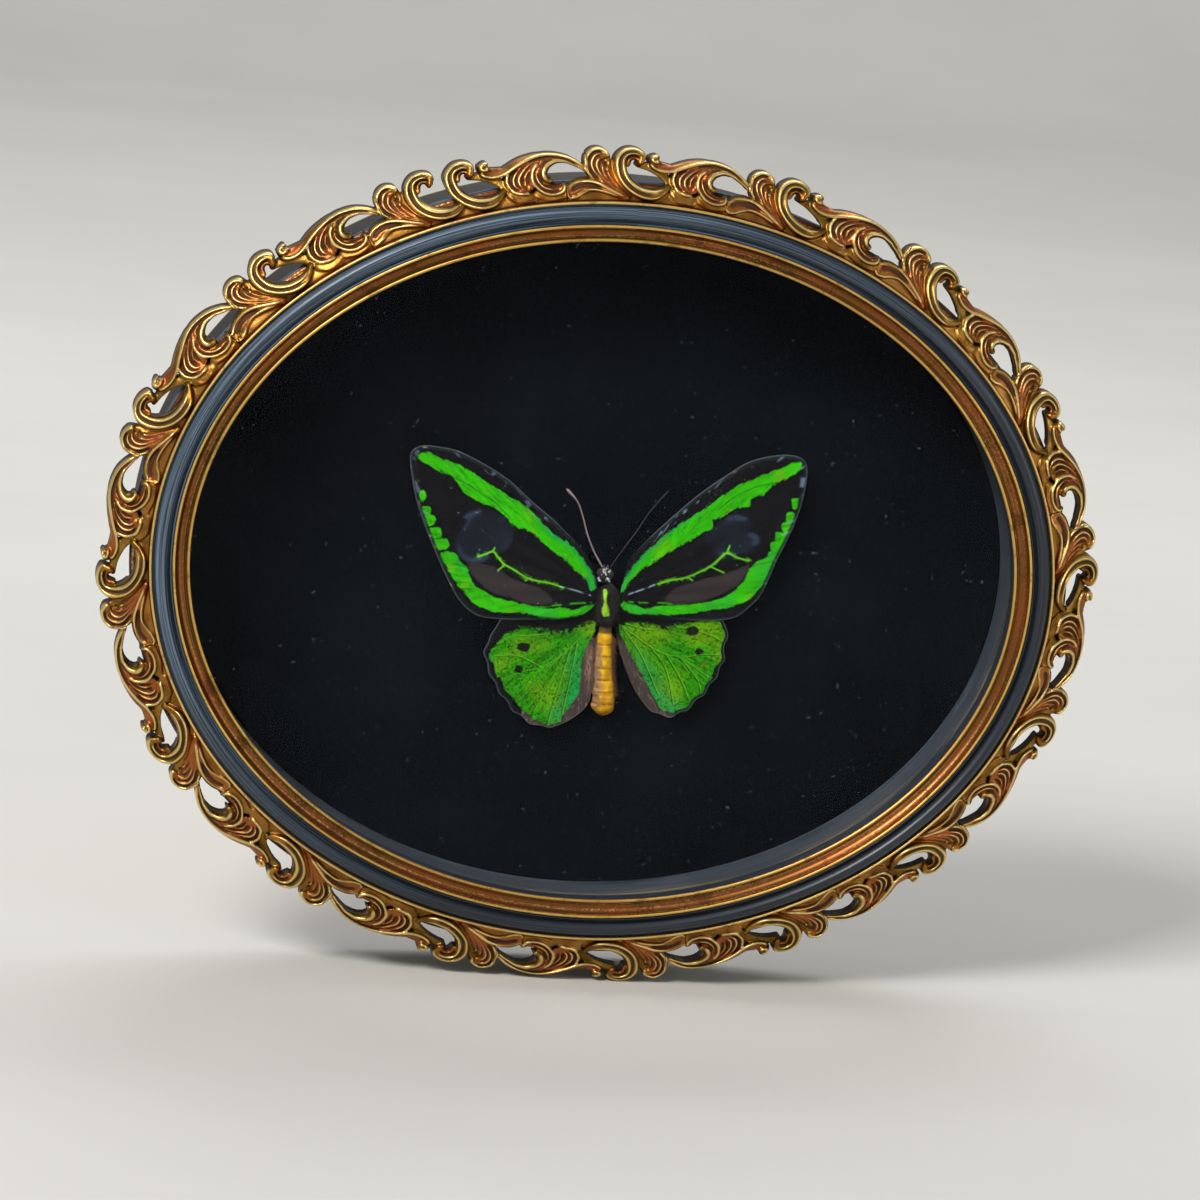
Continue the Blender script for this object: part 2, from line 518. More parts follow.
# One casting, drawn as ribs: along the oval from its C-scroll, and out from the sight ridge, in
# mm. Each rib has a line, half widths, a height or heights above the casting's edge, and whether
# its flutes are copper. The ribs that come after the C-scroll shift along on the longer casting.
casting = {
    "pitch": 44.1,
    "longer": 10.5,
    "cell": 0.21,
    "inner": 11.98,  # the moulding's edge, where every casting stops
    "face": (11.8, 1.5, 0.5),  # the carved face at its edge: from this far out, depth and fall
    "seat": (11.9, 3.33, 0.525),  # the same for the underside
    "drop": 2.8,  # how much deeper the castings are where they overhang the moulding
    "joint": (18.9, 17.0, 11.3),  # the step between two castings: how far out, and along
    # where each casting's C-scroll lies along the oval, clockwise from the top
    "scrollAt": (
        -2.2, 42.1, 88.3, 130.8, 173.5, 214.4, 257.9, 301.7,
        347.2, 394.5, 443.6, 489.0, 532.8, 575.1, 619.7, 664.4,
    ),
    "before": [
        ([(-15.4, 14.9), (-12.8, 16.1), (-9.6, 16.4), (-6.2, 15.2),
          (-1.8, 13.2)], (1.6, 1.5, 1.5, 1.3, 0.8), (1.3, 1.5, 1.5, 1.4, 0.9), 0.8),
        ([(-1.0, 13.2), (-4.3, 16.0), (-7.2, 18.9), (-9.1, 21.8),
          (-8.9, 24.2)], (1.2, 2.0, 2.5, 2.4, 2.3), (1.5, 1.7, 1.8, 1.8, 1.8), 0.9),
        ([(-10.0, 24.6), (-8.3, 25.7), (-6.4, 25.0)], (1.4, 1.4, 1.1), (1.7,), 0.3),
        ([(-5.8, 24.4), (-5.3, 21.5), (-4.6, 18.5), (-2.8, 15.4)], (0.7, 0.9, 0.9, 0.8),
          (0.9, 0.7, 0.7, 0.9), 0.3),
        ([(-4.4, 22.6), (-4.2, 19.5), (-3.2, 16.5)], (0.7, 0.9, 0.9), (0.35,), 0.0),
        ([(-6.7, 21.4), (-6.3, 20.9)], (0.55,), (1.7,), 0.0),
    ],
    "scroll": [
        ([(2.9, 23.4), (3.2, 25.2), (1.9, 26.2), (0.4, 26.4), (-1.6, 25.6), (-2.7, 23.6),
          (-2.5, 21.0), (-1.5, 18.5), (0.6, 16.1), (3.3, 14.6), (6.6, 14.3), (9.1, 15.3),
          (10.4, 16.7)],
         (0.75, 0.95, 1.0, 1.15, 1.5, 1.6, 1.65, 1.65, 1.7, 1.7, 1.5, 1.1, 0.6),
         (2.0, 2.0, 2.1, 2.2, 2.4, 2.6, 2.8, 3.0, 3.2, 3.2, 2.9, 2.2, 1.6), 0.0),
        ([(2.5, 22.8), (2.1, 24.1), (0.9, 24.6), (-0.2, 23.8),
          (-0.6, 22.2)], (0.6, 0.75, 0.8, 0.8, 0.6), (1.5,), 0.7),
    ],
    "after": [
        ([(2.3, 22.4), (5.2, 21.9), (8.2, 20.6), (10.2, 18.8),
          (10.9, 16.8)], (0.8, 1.1, 1.3, 1.25, 0.9), (0.5,), 0.0),
        ([(7.2, 23.8), (6.2, 24.3), (6.4, 25.0), (7.0, 25.2)], (0.85,), (2.0,), 0.0),
        ([(6.6, 23.4), (8.6, 22.8), (11.0, 22.6)], (1.0, 1.0, 0.8), (0.9,), 0.9),
        ([(6.2, 22.6), (8.4, 21.9), (11.0, 22.2), (14.5, 23.4), (18.5, 24.2), (23.2, 24.6),
          (27.4, 23.9), (30.6, 22.2), (33.0, 20.2)],
         (0.8, 0.95, 1.1, 1.5, 1.7, 1.3, 1.15, 1.0, 0.45),
           (1.3, 1.4, 1.6, 1.8, 1.9, 1.9, 1.8, 1.5, 1.1), 0.5),
        ([(17.5, 23.3), (14.6, 21.0), (13.9, 18.6), (15.4, 16.4)], (1.9, 2.5, 2.4, 1.6), (1.6,),
          1.0),
        ([(20.2, 23.6), (18.2, 20.8), (17.6, 17.4)], (1.9, 1.9, 1.4), (1.4,), 1.0),
        ([(21.0, 23.2), (19.6, 20.6), (20.3, 17.6), (22.6, 15.7), (25.3, 15.5),
          (26.4, 16.3)], (1.2, 1.5, 1.7, 1.5, 1.2, 0.8), (1.8,), 0.8),
        ([(27.5, 23.5), (24.5, 23.7), (22.2, 22.6), (21.2, 20.8), (21.6, 19.0),
          (22.7, 18.4)], (0.7, 1.0, 1.3, 1.45, 1.3, 1.0), (1.7, 2.0, 2.5, 2.8, 2.8, 2.4), 0.0),
        ([(12.4, 15.2), (14.4, 13.9), (17.4, 13.8)], (1.5, 1.6, 1.5), (1.2,), 0.0),
        ([(19.6, 14.6), (23.4, 13.6), (26.6, 14.2)], (1.5,), (1.2,), 0.0),
    ],
    # thin ridges laid over the ribs; a height below nought cuts a groove
    "beforeRidges": [
        ([(-17.2, 14.2), (-16.8, 15.8), (-14.8, 17.4), (-12.0, 18.0), (-9.2, 17.4), (-6.0, 15.8),
          (-1.2, 13.2)], 0.52, 0.8),
        ([(-17.2, 14.2), (-16.2, 12.9), (-14.3, 13.2), (-12.4, 14.3), (-9.4, 15.0), (-6.0, 14.4),
          (-2.6, 13.0)], 0.48, 0.75),
        ([(-15.9, 14.8), (-13.6, 16.1), (-10.6, 16.4), (-7.4, 15.5)], 0.62, -0.8),
        ([(-9.6, 17.6), (-10.9, 19.6), (-11.6, 22.2), (-11.3, 24.6), (-9.8, 26.4), (-7.8, 26.8),
          (-6.1, 25.9), (-5.5, 24.4)], 0.5, 0.95),
        ([(-6.6, 25.5), (-8.8, 25.2), (-10.0, 23.2), (-9.6, 20.6), (-7.0, 17.6),
          (-2.6, 13.8)], 0.33, 0.45),
        ([(-6.9, 24.4), (-8.2, 23.8), (-8.8, 22.0), (-7.9, 19.8), (-5.6, 17.2),
          (-1.8, 13.8)], 0.33, 0.45),
        ([(-6.3, 23.2), (-7.3, 22.0), (-7.0, 20.0), (-5.2, 17.6), (-1.0, 14.0)], 0.3, 0.4),
        ([(-5.5, 22.4), (-5.9, 20.4), (-4.6, 17.8), (-0.8, 14.4)], 0.3, 0.35),
        ([(-6.9, 26.1), (-9.3, 25.6), (-10.8, 23.2), (-10.3, 20.6), (-8.2, 18.0)], 0.42, -0.8),
        ([(-6.9, 24.9), (-8.7, 24.4), (-9.4, 22.4), (-8.7, 20.1), (-6.4, 17.4),
          (-2.2, 13.9)], 0.3, -0.5),
        ([(-6.7, 23.8), (-7.9, 22.6), (-7.4, 20.0), (-5.4, 17.4)], 0.3, -0.5),
        ([(-5.9, 23.0), (-6.5, 21.0), (-5.6, 18.7), (-3.4, 16.0)], 0.28, -0.5),
    ],
    "scrollRidges": [
        ([(3.8, 24.4), (3.6, 26.0), (1.8, 27.1), (-0.6, 27.1), (-2.6, 25.6), (-3.6, 23.2),
          (-3.5, 20.6), (-2.5, 17.9), (-0.3, 15.4), (2.9, 13.6), (6.4, 13.2),
          (9.4, 14.3)], 0.5, 0.6),
        ([(2.9, 24.4), (2.2, 25.6), (0.6, 25.8), (-0.9, 25.0), (-1.6, 23.0), (-1.4, 20.6),
          (-0.5, 18.4), (1.3, 16.6), (3.7, 15.5), (6.7, 15.3), (9.4, 16.3)], 0.45, 0.6),
        ([(3.3, 25.3), (1.6, 26.4), (-0.9, 26.1), (-2.3, 24.4), (-2.6, 21.8), (-2.2, 19.2),
          (-0.6, 16.9), (1.6, 15.2), (4.2, 14.4), (7.4, 14.3)], 0.4, -0.5),
        ([(2.5, 24.9), (0.9, 25.2), (-0.6, 24.4), (-1.15, 22.9)], 0.3, -0.6),
        ([(1.5, 23.0), (1.3, 23.9), (0.6, 23.9), (0.2, 23.1)], 0.35, -0.6),
    ],
    "afterRidges": [
        ([(7.6, 24.3), (6.6, 23.9), (5.8, 24.5), (6.0, 25.4), (7.2, 25.6)], 0.42, 0.75),
        ([(5.4, 25.0), (5.3, 23.6), (6.3, 22.1), (8.2, 21.2), (11.0, 21.5), (14.6, 23.3),
          (18.6, 25.0), (22.5, 25.8), (26.8, 25.1), (30.2, 23.2), (33.2, 20.4)], 0.48, 0.9),
        ([(13.5, 22.0), (17.0, 23.7), (20.8, 24.8), (24.6, 24.9), (28.2, 23.9),
          (31.0, 22.0)], 0.4, -0.65),
        ([(12.6, 22.3), (11.7, 20.6), (11.6, 18.6), (12.6, 16.6), (14.6, 15.4), (16.6, 15.3),
          (17.5, 16.2)], 0.5, 1.05),
        ([(18.5, 24.3), (15.5, 22.6), (13.6, 20.2), (13.6, 17.8), (15.2, 16.5)], 0.33, 0.45),
        ([(20.0, 24.3), (16.9, 22.3), (15.0, 20.0), (15.0, 17.8), (16.2, 16.8)], 0.33, 0.45),
        ([(21.0, 24.2), (18.0, 21.9), (16.5, 19.7), (16.6, 17.6)], 0.33, 0.45),
        ([(21.8, 24.0), (19.3, 21.7), (17.8, 19.5), (17.7, 17.2)], 0.33, 0.45),
        ([(16.2, 23.4), (13.6, 21.6), (12.6, 19.6), (12.9, 17.6), (14.4, 16.2)], 0.42, -0.85),
        ([(19.3, 24.4), (16.2, 22.5), (14.3, 20.1), (14.3, 17.8), (15.7, 16.6)], 0.33, -0.6),
        ([(20.5, 24.3), (17.5, 22.1), (15.8, 19.9), (15.8, 17.7)], 0.33, -0.6),
        ([(21.4, 24.1), (18.6, 21.8), (17.15, 19.6), (17.1, 17.4)], 0.33, -0.6),
        ([(20.6, 23.9), (18.8, 21.8), (18.3, 19.4), (19.0, 17.1), (20.8, 15.2), (23.2, 14.3),
          (25.6, 14.7), (26.8, 16.0), (26.6, 17.2)], 0.5, 1.0),
        ([(20.9, 22.6), (19.6, 20.6), (19.8, 18.4), (21.2, 16.6), (23.6, 15.7)], 0.33, 0.45),
        ([(20.2, 22.6), (19.1, 20.6), (19.15, 18.4), (20.4, 16.3), (22.8, 15.0),
          (25.6, 15.5)], 0.4, -0.75),
        ([(29.6, 22.3), (27.2, 23.3), (24.6, 23.6), (22.4, 22.6), (21.4, 20.9), (21.7, 19.2),
          (22.7, 18.5)], 0.62, 0.5),
        ([(24.2, 24.35), (21.6, 23.3), (20.1, 21.2), (20.3, 19.2), (21.6, 17.8)], 0.35, -0.8),
        ([(27.5, 23.0), (30.0, 22.0), (32.2, 20.4)], 0.35, 0.5),
        ([(11.9, 14.6), (13.4, 13.1), (16.6, 12.9)], 0.35, 0.3),
        ([(19.0, 13.8), (22.6, 12.7), (26.4, 13.2)], 0.35, 0.3),
    ],
}


def shifted(ribs, along):
    return [([(t + along, u) for t, u in rib[0]], *rib[1:]) for rib in ribs]


def castingRibs(longer):
    # one casting's ribs with its neighbours' on either side, since their edges run together
    far = casting["longer"] if longer else 0.0
    ribs, ridges = [], []
    base = ([(-60.0, 13.4), (20.0, 13.4), (90.0, 13.4)], (1.75,), (0.5,), 0.35)
    spans = [(-casting["pitch"], 0.0), (0.0, far), (casting["pitch"] + far, 0.0)]
    for along, gap in spans:
        ribs += shifted(casting["before"] + casting["scroll"], along)
        ridges += shifted(casting["beforeRidges"] + casting["scrollRidges"], along)
        if gap:
            ribs += shifted(casting["scroll"], along + gap)
            ridges += shifted(casting["scrollRidges"], along + gap)
        ribs += shifted(casting["after"], along + gap)
        ridges += shifted(casting["afterRidges"], along + gap)
    return ribs + [base], ridges


def seamOf(t, u):
    # positive on a casting's own side of the joint with the casting before it
    stepOut, below, above = casting["joint"]
    return np.maximum(np.minimum(stepOut - u, t + below), t + above)


def castingEdge(t, u, lines, far):
    # distance inside the casting: the most of any rib's width less the distance to its line, cut
    # at the joints and at the moulding's edge
    inside = np.full(t.shape, -9.0)
    for line, widths, _ in lines:
        away, along = nearest(t, u, line)
        inside = np.maximum(inside, np.interp(along, np.linspace(0, 1, len(widths)), widths) - away)
    joint = np.minimum(seamOf(t, u), -seamOf(t - casting["pitch"] - far, u)) - 0.04
    return np.minimum(np.minimum(inside, u - casting["inner"]), joint)


def soften(field, passes):
    # repeated averages of each place with its neighbours
    for _ in range(passes):
        for axis in (0, 1):
            wide = np.pad(field, [(1, 1) if axis == k else (0, 0) for k in (0, 1)], mode="edge")
            low, high = (wide[:-2], wide[2:]) if axis == 0 else (wide[:, :-2], wide[:, 2:])
            field = 0.25 * low + 0.5 * field + 0.25 * high
    return field


def castingRelief(longer):
    # heights over a grid of (along, out): domed ribs joined softly, ridges added and grooves cut
    far = casting["longer"] if longer else 0.0
    ribs, ridges = castingRibs(longer)
    cell, margin = casting["cell"], 4.0
    start, end = -17.8, 34.4 + far
    t, u = np.meshgrid(np.arange(start, end, cell), np.arange(11.9, 28.1, cell), indexing="ij")
    height, copper, lines = np.zeros(t.shape), np.zeros(t.shape), []

    def drawn(points):
        # the smooth line through the points, or none if it lies off the grid
        line = curveThrough(points, 10 * len(points))
        onGrid = line[:, 0].max() > start - margin and line[:, 0].min() < end + margin
        return line if onGrid else None

    for points, widths, heights, flute in ribs:
        line = drawn(points)
        if line is None:
            continue
        away, along = nearest(t, u, line)
        wide = np.interp(along, np.linspace(0, 1, len(widths)), widths) + 0.3
        tall = np.interp(along, np.linspace(0, 1, len(heights)), heights)
        share = np.clip(away / wide, 0.0, 1.0)
        dome = 1.2 * tall * (1.0 - share**2.2) ** 0.55
        height = (height**5 + dome**5) ** 0.2
        copper = np.maximum(copper, flute * between(1.0 - share, 0.05, 0.45))
        lines.append((line, np.atleast_1d(widths), heights))
    rise, cut = np.zeros(t.shape), np.zeros(t.shape)
    for points, wide, tall in ridges:
        line = drawn(points)
        if line is None:
            continue
        away, along = nearest(t, u, line)
        ends = between(np.minimum(along, 1.0 - along), -0.05, 0.12)
        bump = np.clip(1.0 - (away / (wide * 1.5)) ** 2, 0.0, 1.0) ** 1.4 * abs(tall) * ends
        if tall > 0:
            rise = np.maximum(rise, bump)
            lines.append((line, np.array([wide * 0.85]), tall))
        else:
            cut = np.maximum(cut, bump)
    height = height + rise - cut * (rise < 0.5)
    inside = castingEdge(t, u, lines, far)
    height = soften(height, 1)
    relief = height - soften(height, 12)
    crest = between(0.6 * relief + 0.5 * rise, 0.10, 0.66)
    grooved = between(cut * (rise < 0.3) - 0.5 * relief, 0.10, 0.60)
    recess = soften(np.maximum(grooved, between(0.9 - height, 0.0, 0.9)), 1)
    return t, u, height, inside, crest, recess, copper, lines, far


def cutOut(inside):
    # the cells of a grid with a corner inside, as faces over the vertices they use
    near = inside > 0
    keep = near[:-1, :-1] | near[:-1, 1:] | near[1:, 1:] | near[1:, :-1]
    faces = gridFaces(*inside.shape)[keep.ravel()]
    used, faces = np.unique(faces, return_inverse=True)
    return used, faces.reshape(-1, 4)


def openEdges(faces):
    # the sides that belong to one face only, in that face's direction
    sides = np.concatenate([faces[:, [k, (k + 1) % 4]] for k in range(4)])
    keys = np.sort(sides, 1)
    keys = keys[:, 0].astype(np.int64) * (faces.max() + 1) + keys[:, 1]
    _, first, count = np.unique(keys, return_index=True, return_counts=True)
    return sides[first[count == 1]]


def castingFinish():
    # dark toning in the hollows, copper in the flutes, olive gold on the bodies, pale gold crests
    gilt = Finish("gildedCasting")
    crest, recess, copper, side = (gilt.shade(name) for name in ("crest", "recess", "copper", "side"))
    cloud, grain = gilt.noise(140.0, 4.0, 0.6), gilt.noise(1500.0, 3.0, 0.6)
    speck = gilt.noise(520.0, 4.0, 0.65)
    body = gilt.mix(gilt.step(cloud, 0.35, 0.68), linear("74521e"), linear("a8823a"))
    body = gilt.mix(copper * gilt.step(cloud + speck * 0.5, 0.5, 0.85), body, linear("a65a30"))
    toned = gilt.step(recess + (speck - 0.5) * 0.7 + (cloud - 0.5) * 0.4, 0.30, 0.85)
    body = gilt.mix(toned * 0.85, body, linear("2c1509"))
    worn = gilt.step(crest + (speck - 0.5) * 0.5, 0.25, 0.8)
    body = gilt.mix(worn * 0.85, body, linear("e8cf86"))
    under = gilt.step(side + (speck - 0.5) * 0.3, 0.2, 0.8)
    lower = gilt.step(side + (speck - 0.5) * 0.4, 0.45, 0.95)
    shadow = gilt.mix(lower, linear("5c3416"), linear("170b05"))
    body = gilt.mix(under, body, shadow)
    metal = 0.95 - toned * 0.5 - under * 0.4
    rough = 0.30 + toned * 0.25 + grain * 0.16 + under * 0.2
    height = grain * 0.35 + speck * 0.8 + toned * -0.4
    gilt.ready(basecolor=body, metallic=metal, roughness=rough, normal=gilt.bump(height, 0.6, 0.00024))
    return gilt


def fallingFrom(out, start, depth, rate):
    # a plane that starts so deep below the ridge and falls steadily outwards
    return sight["ridge"] - depth - rate * (out - start)


def makeCastings():
    # fifteen plain castings and the longer last one, each a relief with short side walls and a
    # flat underside; places along it are spread to where the frame's own scrolls lie
    finish = castingFinish()
    scrolls, lap = list(casting["scrollAt"]), ovalLength
    even = [casting["pitch"] * step for step in range(16)]
    last = casting["pitch"] * 16 + casting["longer"]
    evenAt = [-casting["pitch"] - casting["longer"]] + even + [last, last + casting["pitch"]]
    trueAt = [scrolls[-1] - lap] + scrolls + [scrolls[0] + lap, scrolls[2] + lap]
    for longer in (False, True):
        t, u, height, inside, crest, recess, copper, lines, far = castingRelief(longer)
        used, faces = cutOut(inside)
        fields = (t, u, inside, *np.gradient(inside, casting["cell"]), height, crest, recess, copper)
        along, out, depth, slopeAlong, slopeOut, tall, crest, recess, copper = (
            field.ravel()[used] for field in fields
        )
        tall = np.where(depth < 0, tall * 0.8, tall)
        # corners left outside are drawn back to the edge along the slope of the distance
        for _ in range(3):
            outer = np.flatnonzero(depth < 0)
            ga, gb = slopeAlong[outer], slopeOut[outer]
            size = ga**2 + gb**2 + 0.04
            along[outer] -= depth[outer] * ga / size * 0.9
            out[outer] -= depth[outer] * gb / size * 0.9
            depth[outer] = np.minimum(castingEdge(along[outer], out[outer], lines, far), 0.0)
        sides = openEdges(faces)
        rim, place = np.unique(sides, return_inverse=True)
        place = place.reshape(-1, 2)
        count, ring = len(used), len(rim)
        walls = []
        for level in (0, 1):
            upper = rim[place] if level == 0 else count + place
            lower = count + ring * level + place
            walls.append(np.stack([upper[:, 1], upper[:, 0], lower[:, 0], lower[:, 1]], -1))
        # the underside's vertices: first those below the rim, then those below the rest
        floorOf = np.full(count, -1)
        floorOf[rim] = count + ring + np.arange(ring)
        inner = np.flatnonzero(floorOf < 0)
        floorOf[inner] = count + 2 * ring + np.arange(len(inner))
        below = floorOf[faces][:, ::-1]
        for index in ([15] if longer else range(15)):
            s = np.interp(casting["pitch"] * index + along, evenAt, trueAt)
            # hand finishing moves each casting's detail by a little, without opening its joints
            wander = 0.22 * np.sin(s / 5.1 + out * 0.4) + 0.30 * (fuzz(s, out, 6.5, 21) - 0.5)
            wander = wander * between(np.abs(out - 19.0), -6.0, 6.0)
            x, y = onOval(s + 0.25 * wander, out + 0.8 * wander * between(out, 12.6, 16.0))
            swell = 0.92 + 0.16 * fuzz(s, out, 9.0, 22)
            top = fallingFrom(out, *casting["face"]) + tall * swell
            low = fallingFrom(out, *casting["seat"]) - casting["drop"] * between(out, 17.95, 18.5)
            bevel, least = 0.45, 0.3
            edge = np.maximum(top[rim] - bevel, low[rim] + least)
            order = np.concatenate([np.arange(count), rim, rim, inner])
            z = np.concatenate([top, edge, low[rim], low[inner]])
            rest = 2 * ring + len(inner)
            shades = {
                "crest": np.concatenate([crest, np.zeros(rest)]),
                "recess": np.concatenate([recess, np.full(rest, 0.5)]),
                "copper": np.concatenate([copper, np.zeros(rest)]),
                "side": np.repeat([0.0, 0.6, 1.0], [count, ring, rest - ring]),
            }
            places = np.stack([x[order], y[order], z], -1)
            shell = [np.vstack([faces, *walls, below])]
            piece = putMesh(f"casting{index + 1:02d}", places, shell, finish, shades)
            fit(piece, "gilt_ornament", f"ornament_{index + 1:02d}")
        print("casting relief", "longer" if longer else "plain", len(faces), "cells")


makeCastings()
print("sixteen castings set round the frame")


# Glass, the painted wall under it, velvet, boards and the back's metalwork
case = {  # heights are from the rear rim, and distances outwards from the sight oval
    "glassIor": 1.5,
    "mirrorTint": (0.07, 0.07, 0.08),  # the pane is coated, and hardly mirrors
    "wall": (8.4, 29.4),
    "velvet": (7.5, 8.1),
    "velvetDeep": (0.0014, 0.0021, 0.0032),
    "velvetPale": (0.0030, 0.0044, 0.0064),
    "paneOut": 6.0,
    "wallOut": 1.5,
}


def ringFrom(name, section, steps, finish):
    # a closed section of (out, towards) carried round the oval, mapped by arc and girth
    out, up = np.asarray(section, float).T
    arc = np.arange(steps) * ovalLength / steps
    x, y = onOval(arc[:, None], out[None, :])
    places = np.stack([x, y, np.broadcast_to(up, x.shape)], -1).reshape(-1, 3)
    faces = [gridFaces(steps, len(out), True, True)]
    return putMesh(name, places, faces, finish, None, ringMap(steps, out, up))


def makeWall():
    # a thin wall, dark paint brushed round it, browner towards the glass
    low, high = case["wall"]
    inner, outer = case["wallOut"], case["paneOut"]
    face = [(inner, low + (high - low) * k / 14) for k in range(15)]
    section = face + [(inner + 0.5, high), (outer, high), (outer, low), (inner + 0.5, low)]
    paint = Finish("paintedWall")
    rise = paint.node("SeparateXYZ", None, {0: paint.node("TexCoord", out=3)}, 1)
    brush = paint.noise(1.0, 4.0, 0.65, (22.0, 1300.0, 1.0), byArc=True)
    cloud = paint.noise(40.0, 3.0, 0.6)
    upper = paint.step(-1.0 * rise + (brush - 0.5) * 0.012, 0.020, 0.029)
    slate = paint.mix(paint.step(brush, 0.35, 0.7), linear("12161c"), linear("464e58"))
    brown = paint.mix(paint.step(brush, 0.4, 0.65), linear("231c15"), linear("86745a"))
    base = paint.mix(upper * paint.step(cloud, 0.35, 0.6), slate, brown)
    paint.ready(basecolor=base, roughness=0.42 + cloud * 0.15, normal=paint.bump(brush, 0.4, 0.0001))
    fit(ringFrom("wallBand", section, 360, paint), "black_paint", "spacer_wall")


def makeVelvet():
    # a disc of rings and spokes whose pile lies unevenly by a few hundredths
    rings, spokes = 70, 240
    low, high = case["velvet"]
    share = np.linspace(0.0, 1.0, rings + 1)[1:, None]
    rimX, rimY = onOval(np.arange(spokes) * ovalLength / spokes, case["paneOut"])
    x, y = share * rimX, share * rimY
    fall = 0.06 * (fuzz(x, y, 34.0, 5) - 0.5) + 0.04 * (fuzz(x, y, 11.0, 6) - 0.5)
    top = np.stack([x, y, high + fall * (1 - share**8)], -1).reshape(-1, 3)
    under = np.stack([x, y, np.full(x.shape, low)], -1).reshape(-1, 3)
    count = rings * spokes
    places = np.vstack([top, under, [[0.0, 0.0, high]], [[0.0, 0.0, low]]])
    grid = gridFaces(rings, spokes, False, True)
    ring, rim = np.arange(spokes), np.arange(spokes) + count - spokes
    near = np.roll(ring, -1)
    wall = np.stack([rim + count, np.roll(rim, -1) + count, np.roll(rim, -1), rim], -1)
    cap = np.stack([np.full(spokes, 2 * count), near, ring], -1)
    foot = np.stack([np.full(spokes, 2 * count + 1), ring + count, near + count], -1)
    nap = Finish("blackVelvet")
    pile, cloud = nap.noise(2400.0, 2.0, 0.6), nap.noise(26.0, 4.0, 0.6)
    lint = nap.step(nap.noise(800.0, 1.0, 0.5), 0.735, 0.77)
    lie = nap.step(pile * 0.3 + cloud * 0.8, 0.35, 0.8)
    base = nap.mix(lie, case["velvetDeep"], case["velvetPale"])
    base = nap.mix(lint * 0.7, base, linear("5a6068"))
    nap.ready(basecolor=base, roughness=0.95, specularIorLevel=0.02)
    piece = putMesh("velvetGround", places, [grid[:, ::-1], grid + count, wall, cap, foot], nap)
    fit(piece, "velvet", "velvet")


def dress(node, finish):
    # a solid that keeps its shape takes a procedural material
    for slot in bpy.data.objects[node].material_slots:
        slot.material = finish.material


def plainFinishes():
    clear = Finish("clearGlass")
    clear.ready(
        basecolor=(0.98, 0.995, 0.99), roughness=0.0, ior=case["glassIor"],
        transmissionWeight=1.0, specularTint=case["mirrorTint"],
    )
    dress("glass", clear)
    bpy.data.objects["glass"].visible_shadow = False
    card = Finish("paleCard")
    tone = card.noise(260.0, 4.0, 0.6)
    pale = card.mix(tone, linear("b7ab92"), linear("cdc3ae"))
    card.ready(basecolor=pale, roughness=0.85, normal=card.bump(tone, 0.3, 0.0002))
    dress("specimen_board", card)
    board = Finish("brownHardboard")
    mesh, fleck = board.noise(900.0, 5.0, 0.7), board.noise(70.0, 4.0, 0.6)
    tan = board.mix(board.step(fleck, 0.3, 0.7), linear("6d4526"), linear("875a34"))
    tan = board.mix(board.step(mesh, 0.5, 0.75), tan, linear("3f2614"))
    board.ready(basecolor=tan, roughness=0.78, normal=board.bump(mesh, 0.6, 0.0003))
    dress("backing_board", board)
    steel = Finish("dulledSteel")
    smear = steel.noise(300.0, 4.0, 0.6, (1.0, 1.0, 3.0))
    grey = steel.mix(smear, linear("8b8d90"), linear("b9bbbd"))
    steel.ready(basecolor=grey, metallic=1.0, roughness=0.3 + smear * 0.25)
    for number in range(1, 7):
        dress(f"point_{number}", steel)
    brass = Finish("agedBrass")
    stain = brass.noise(240.0, 4.0, 0.65)
    hue = brass.mix(brass.step(stain, 0.42, 0.7), linear("b6924c"), linear("6f5326"))
    worn = brass.bump(stain, 0.2, 0.0001)
    brass.ready(basecolor=hue, metallic=0.95, roughness=0.28 + stain * 0.3, normal=worn)
    for node in ("hanger", "hanger_nail_1", "hanger_nail_2"):
        dress(node, brass)


makeWall()
makeVelvet()
plainFinishes()
print("glass, wall, velvet and boards done")


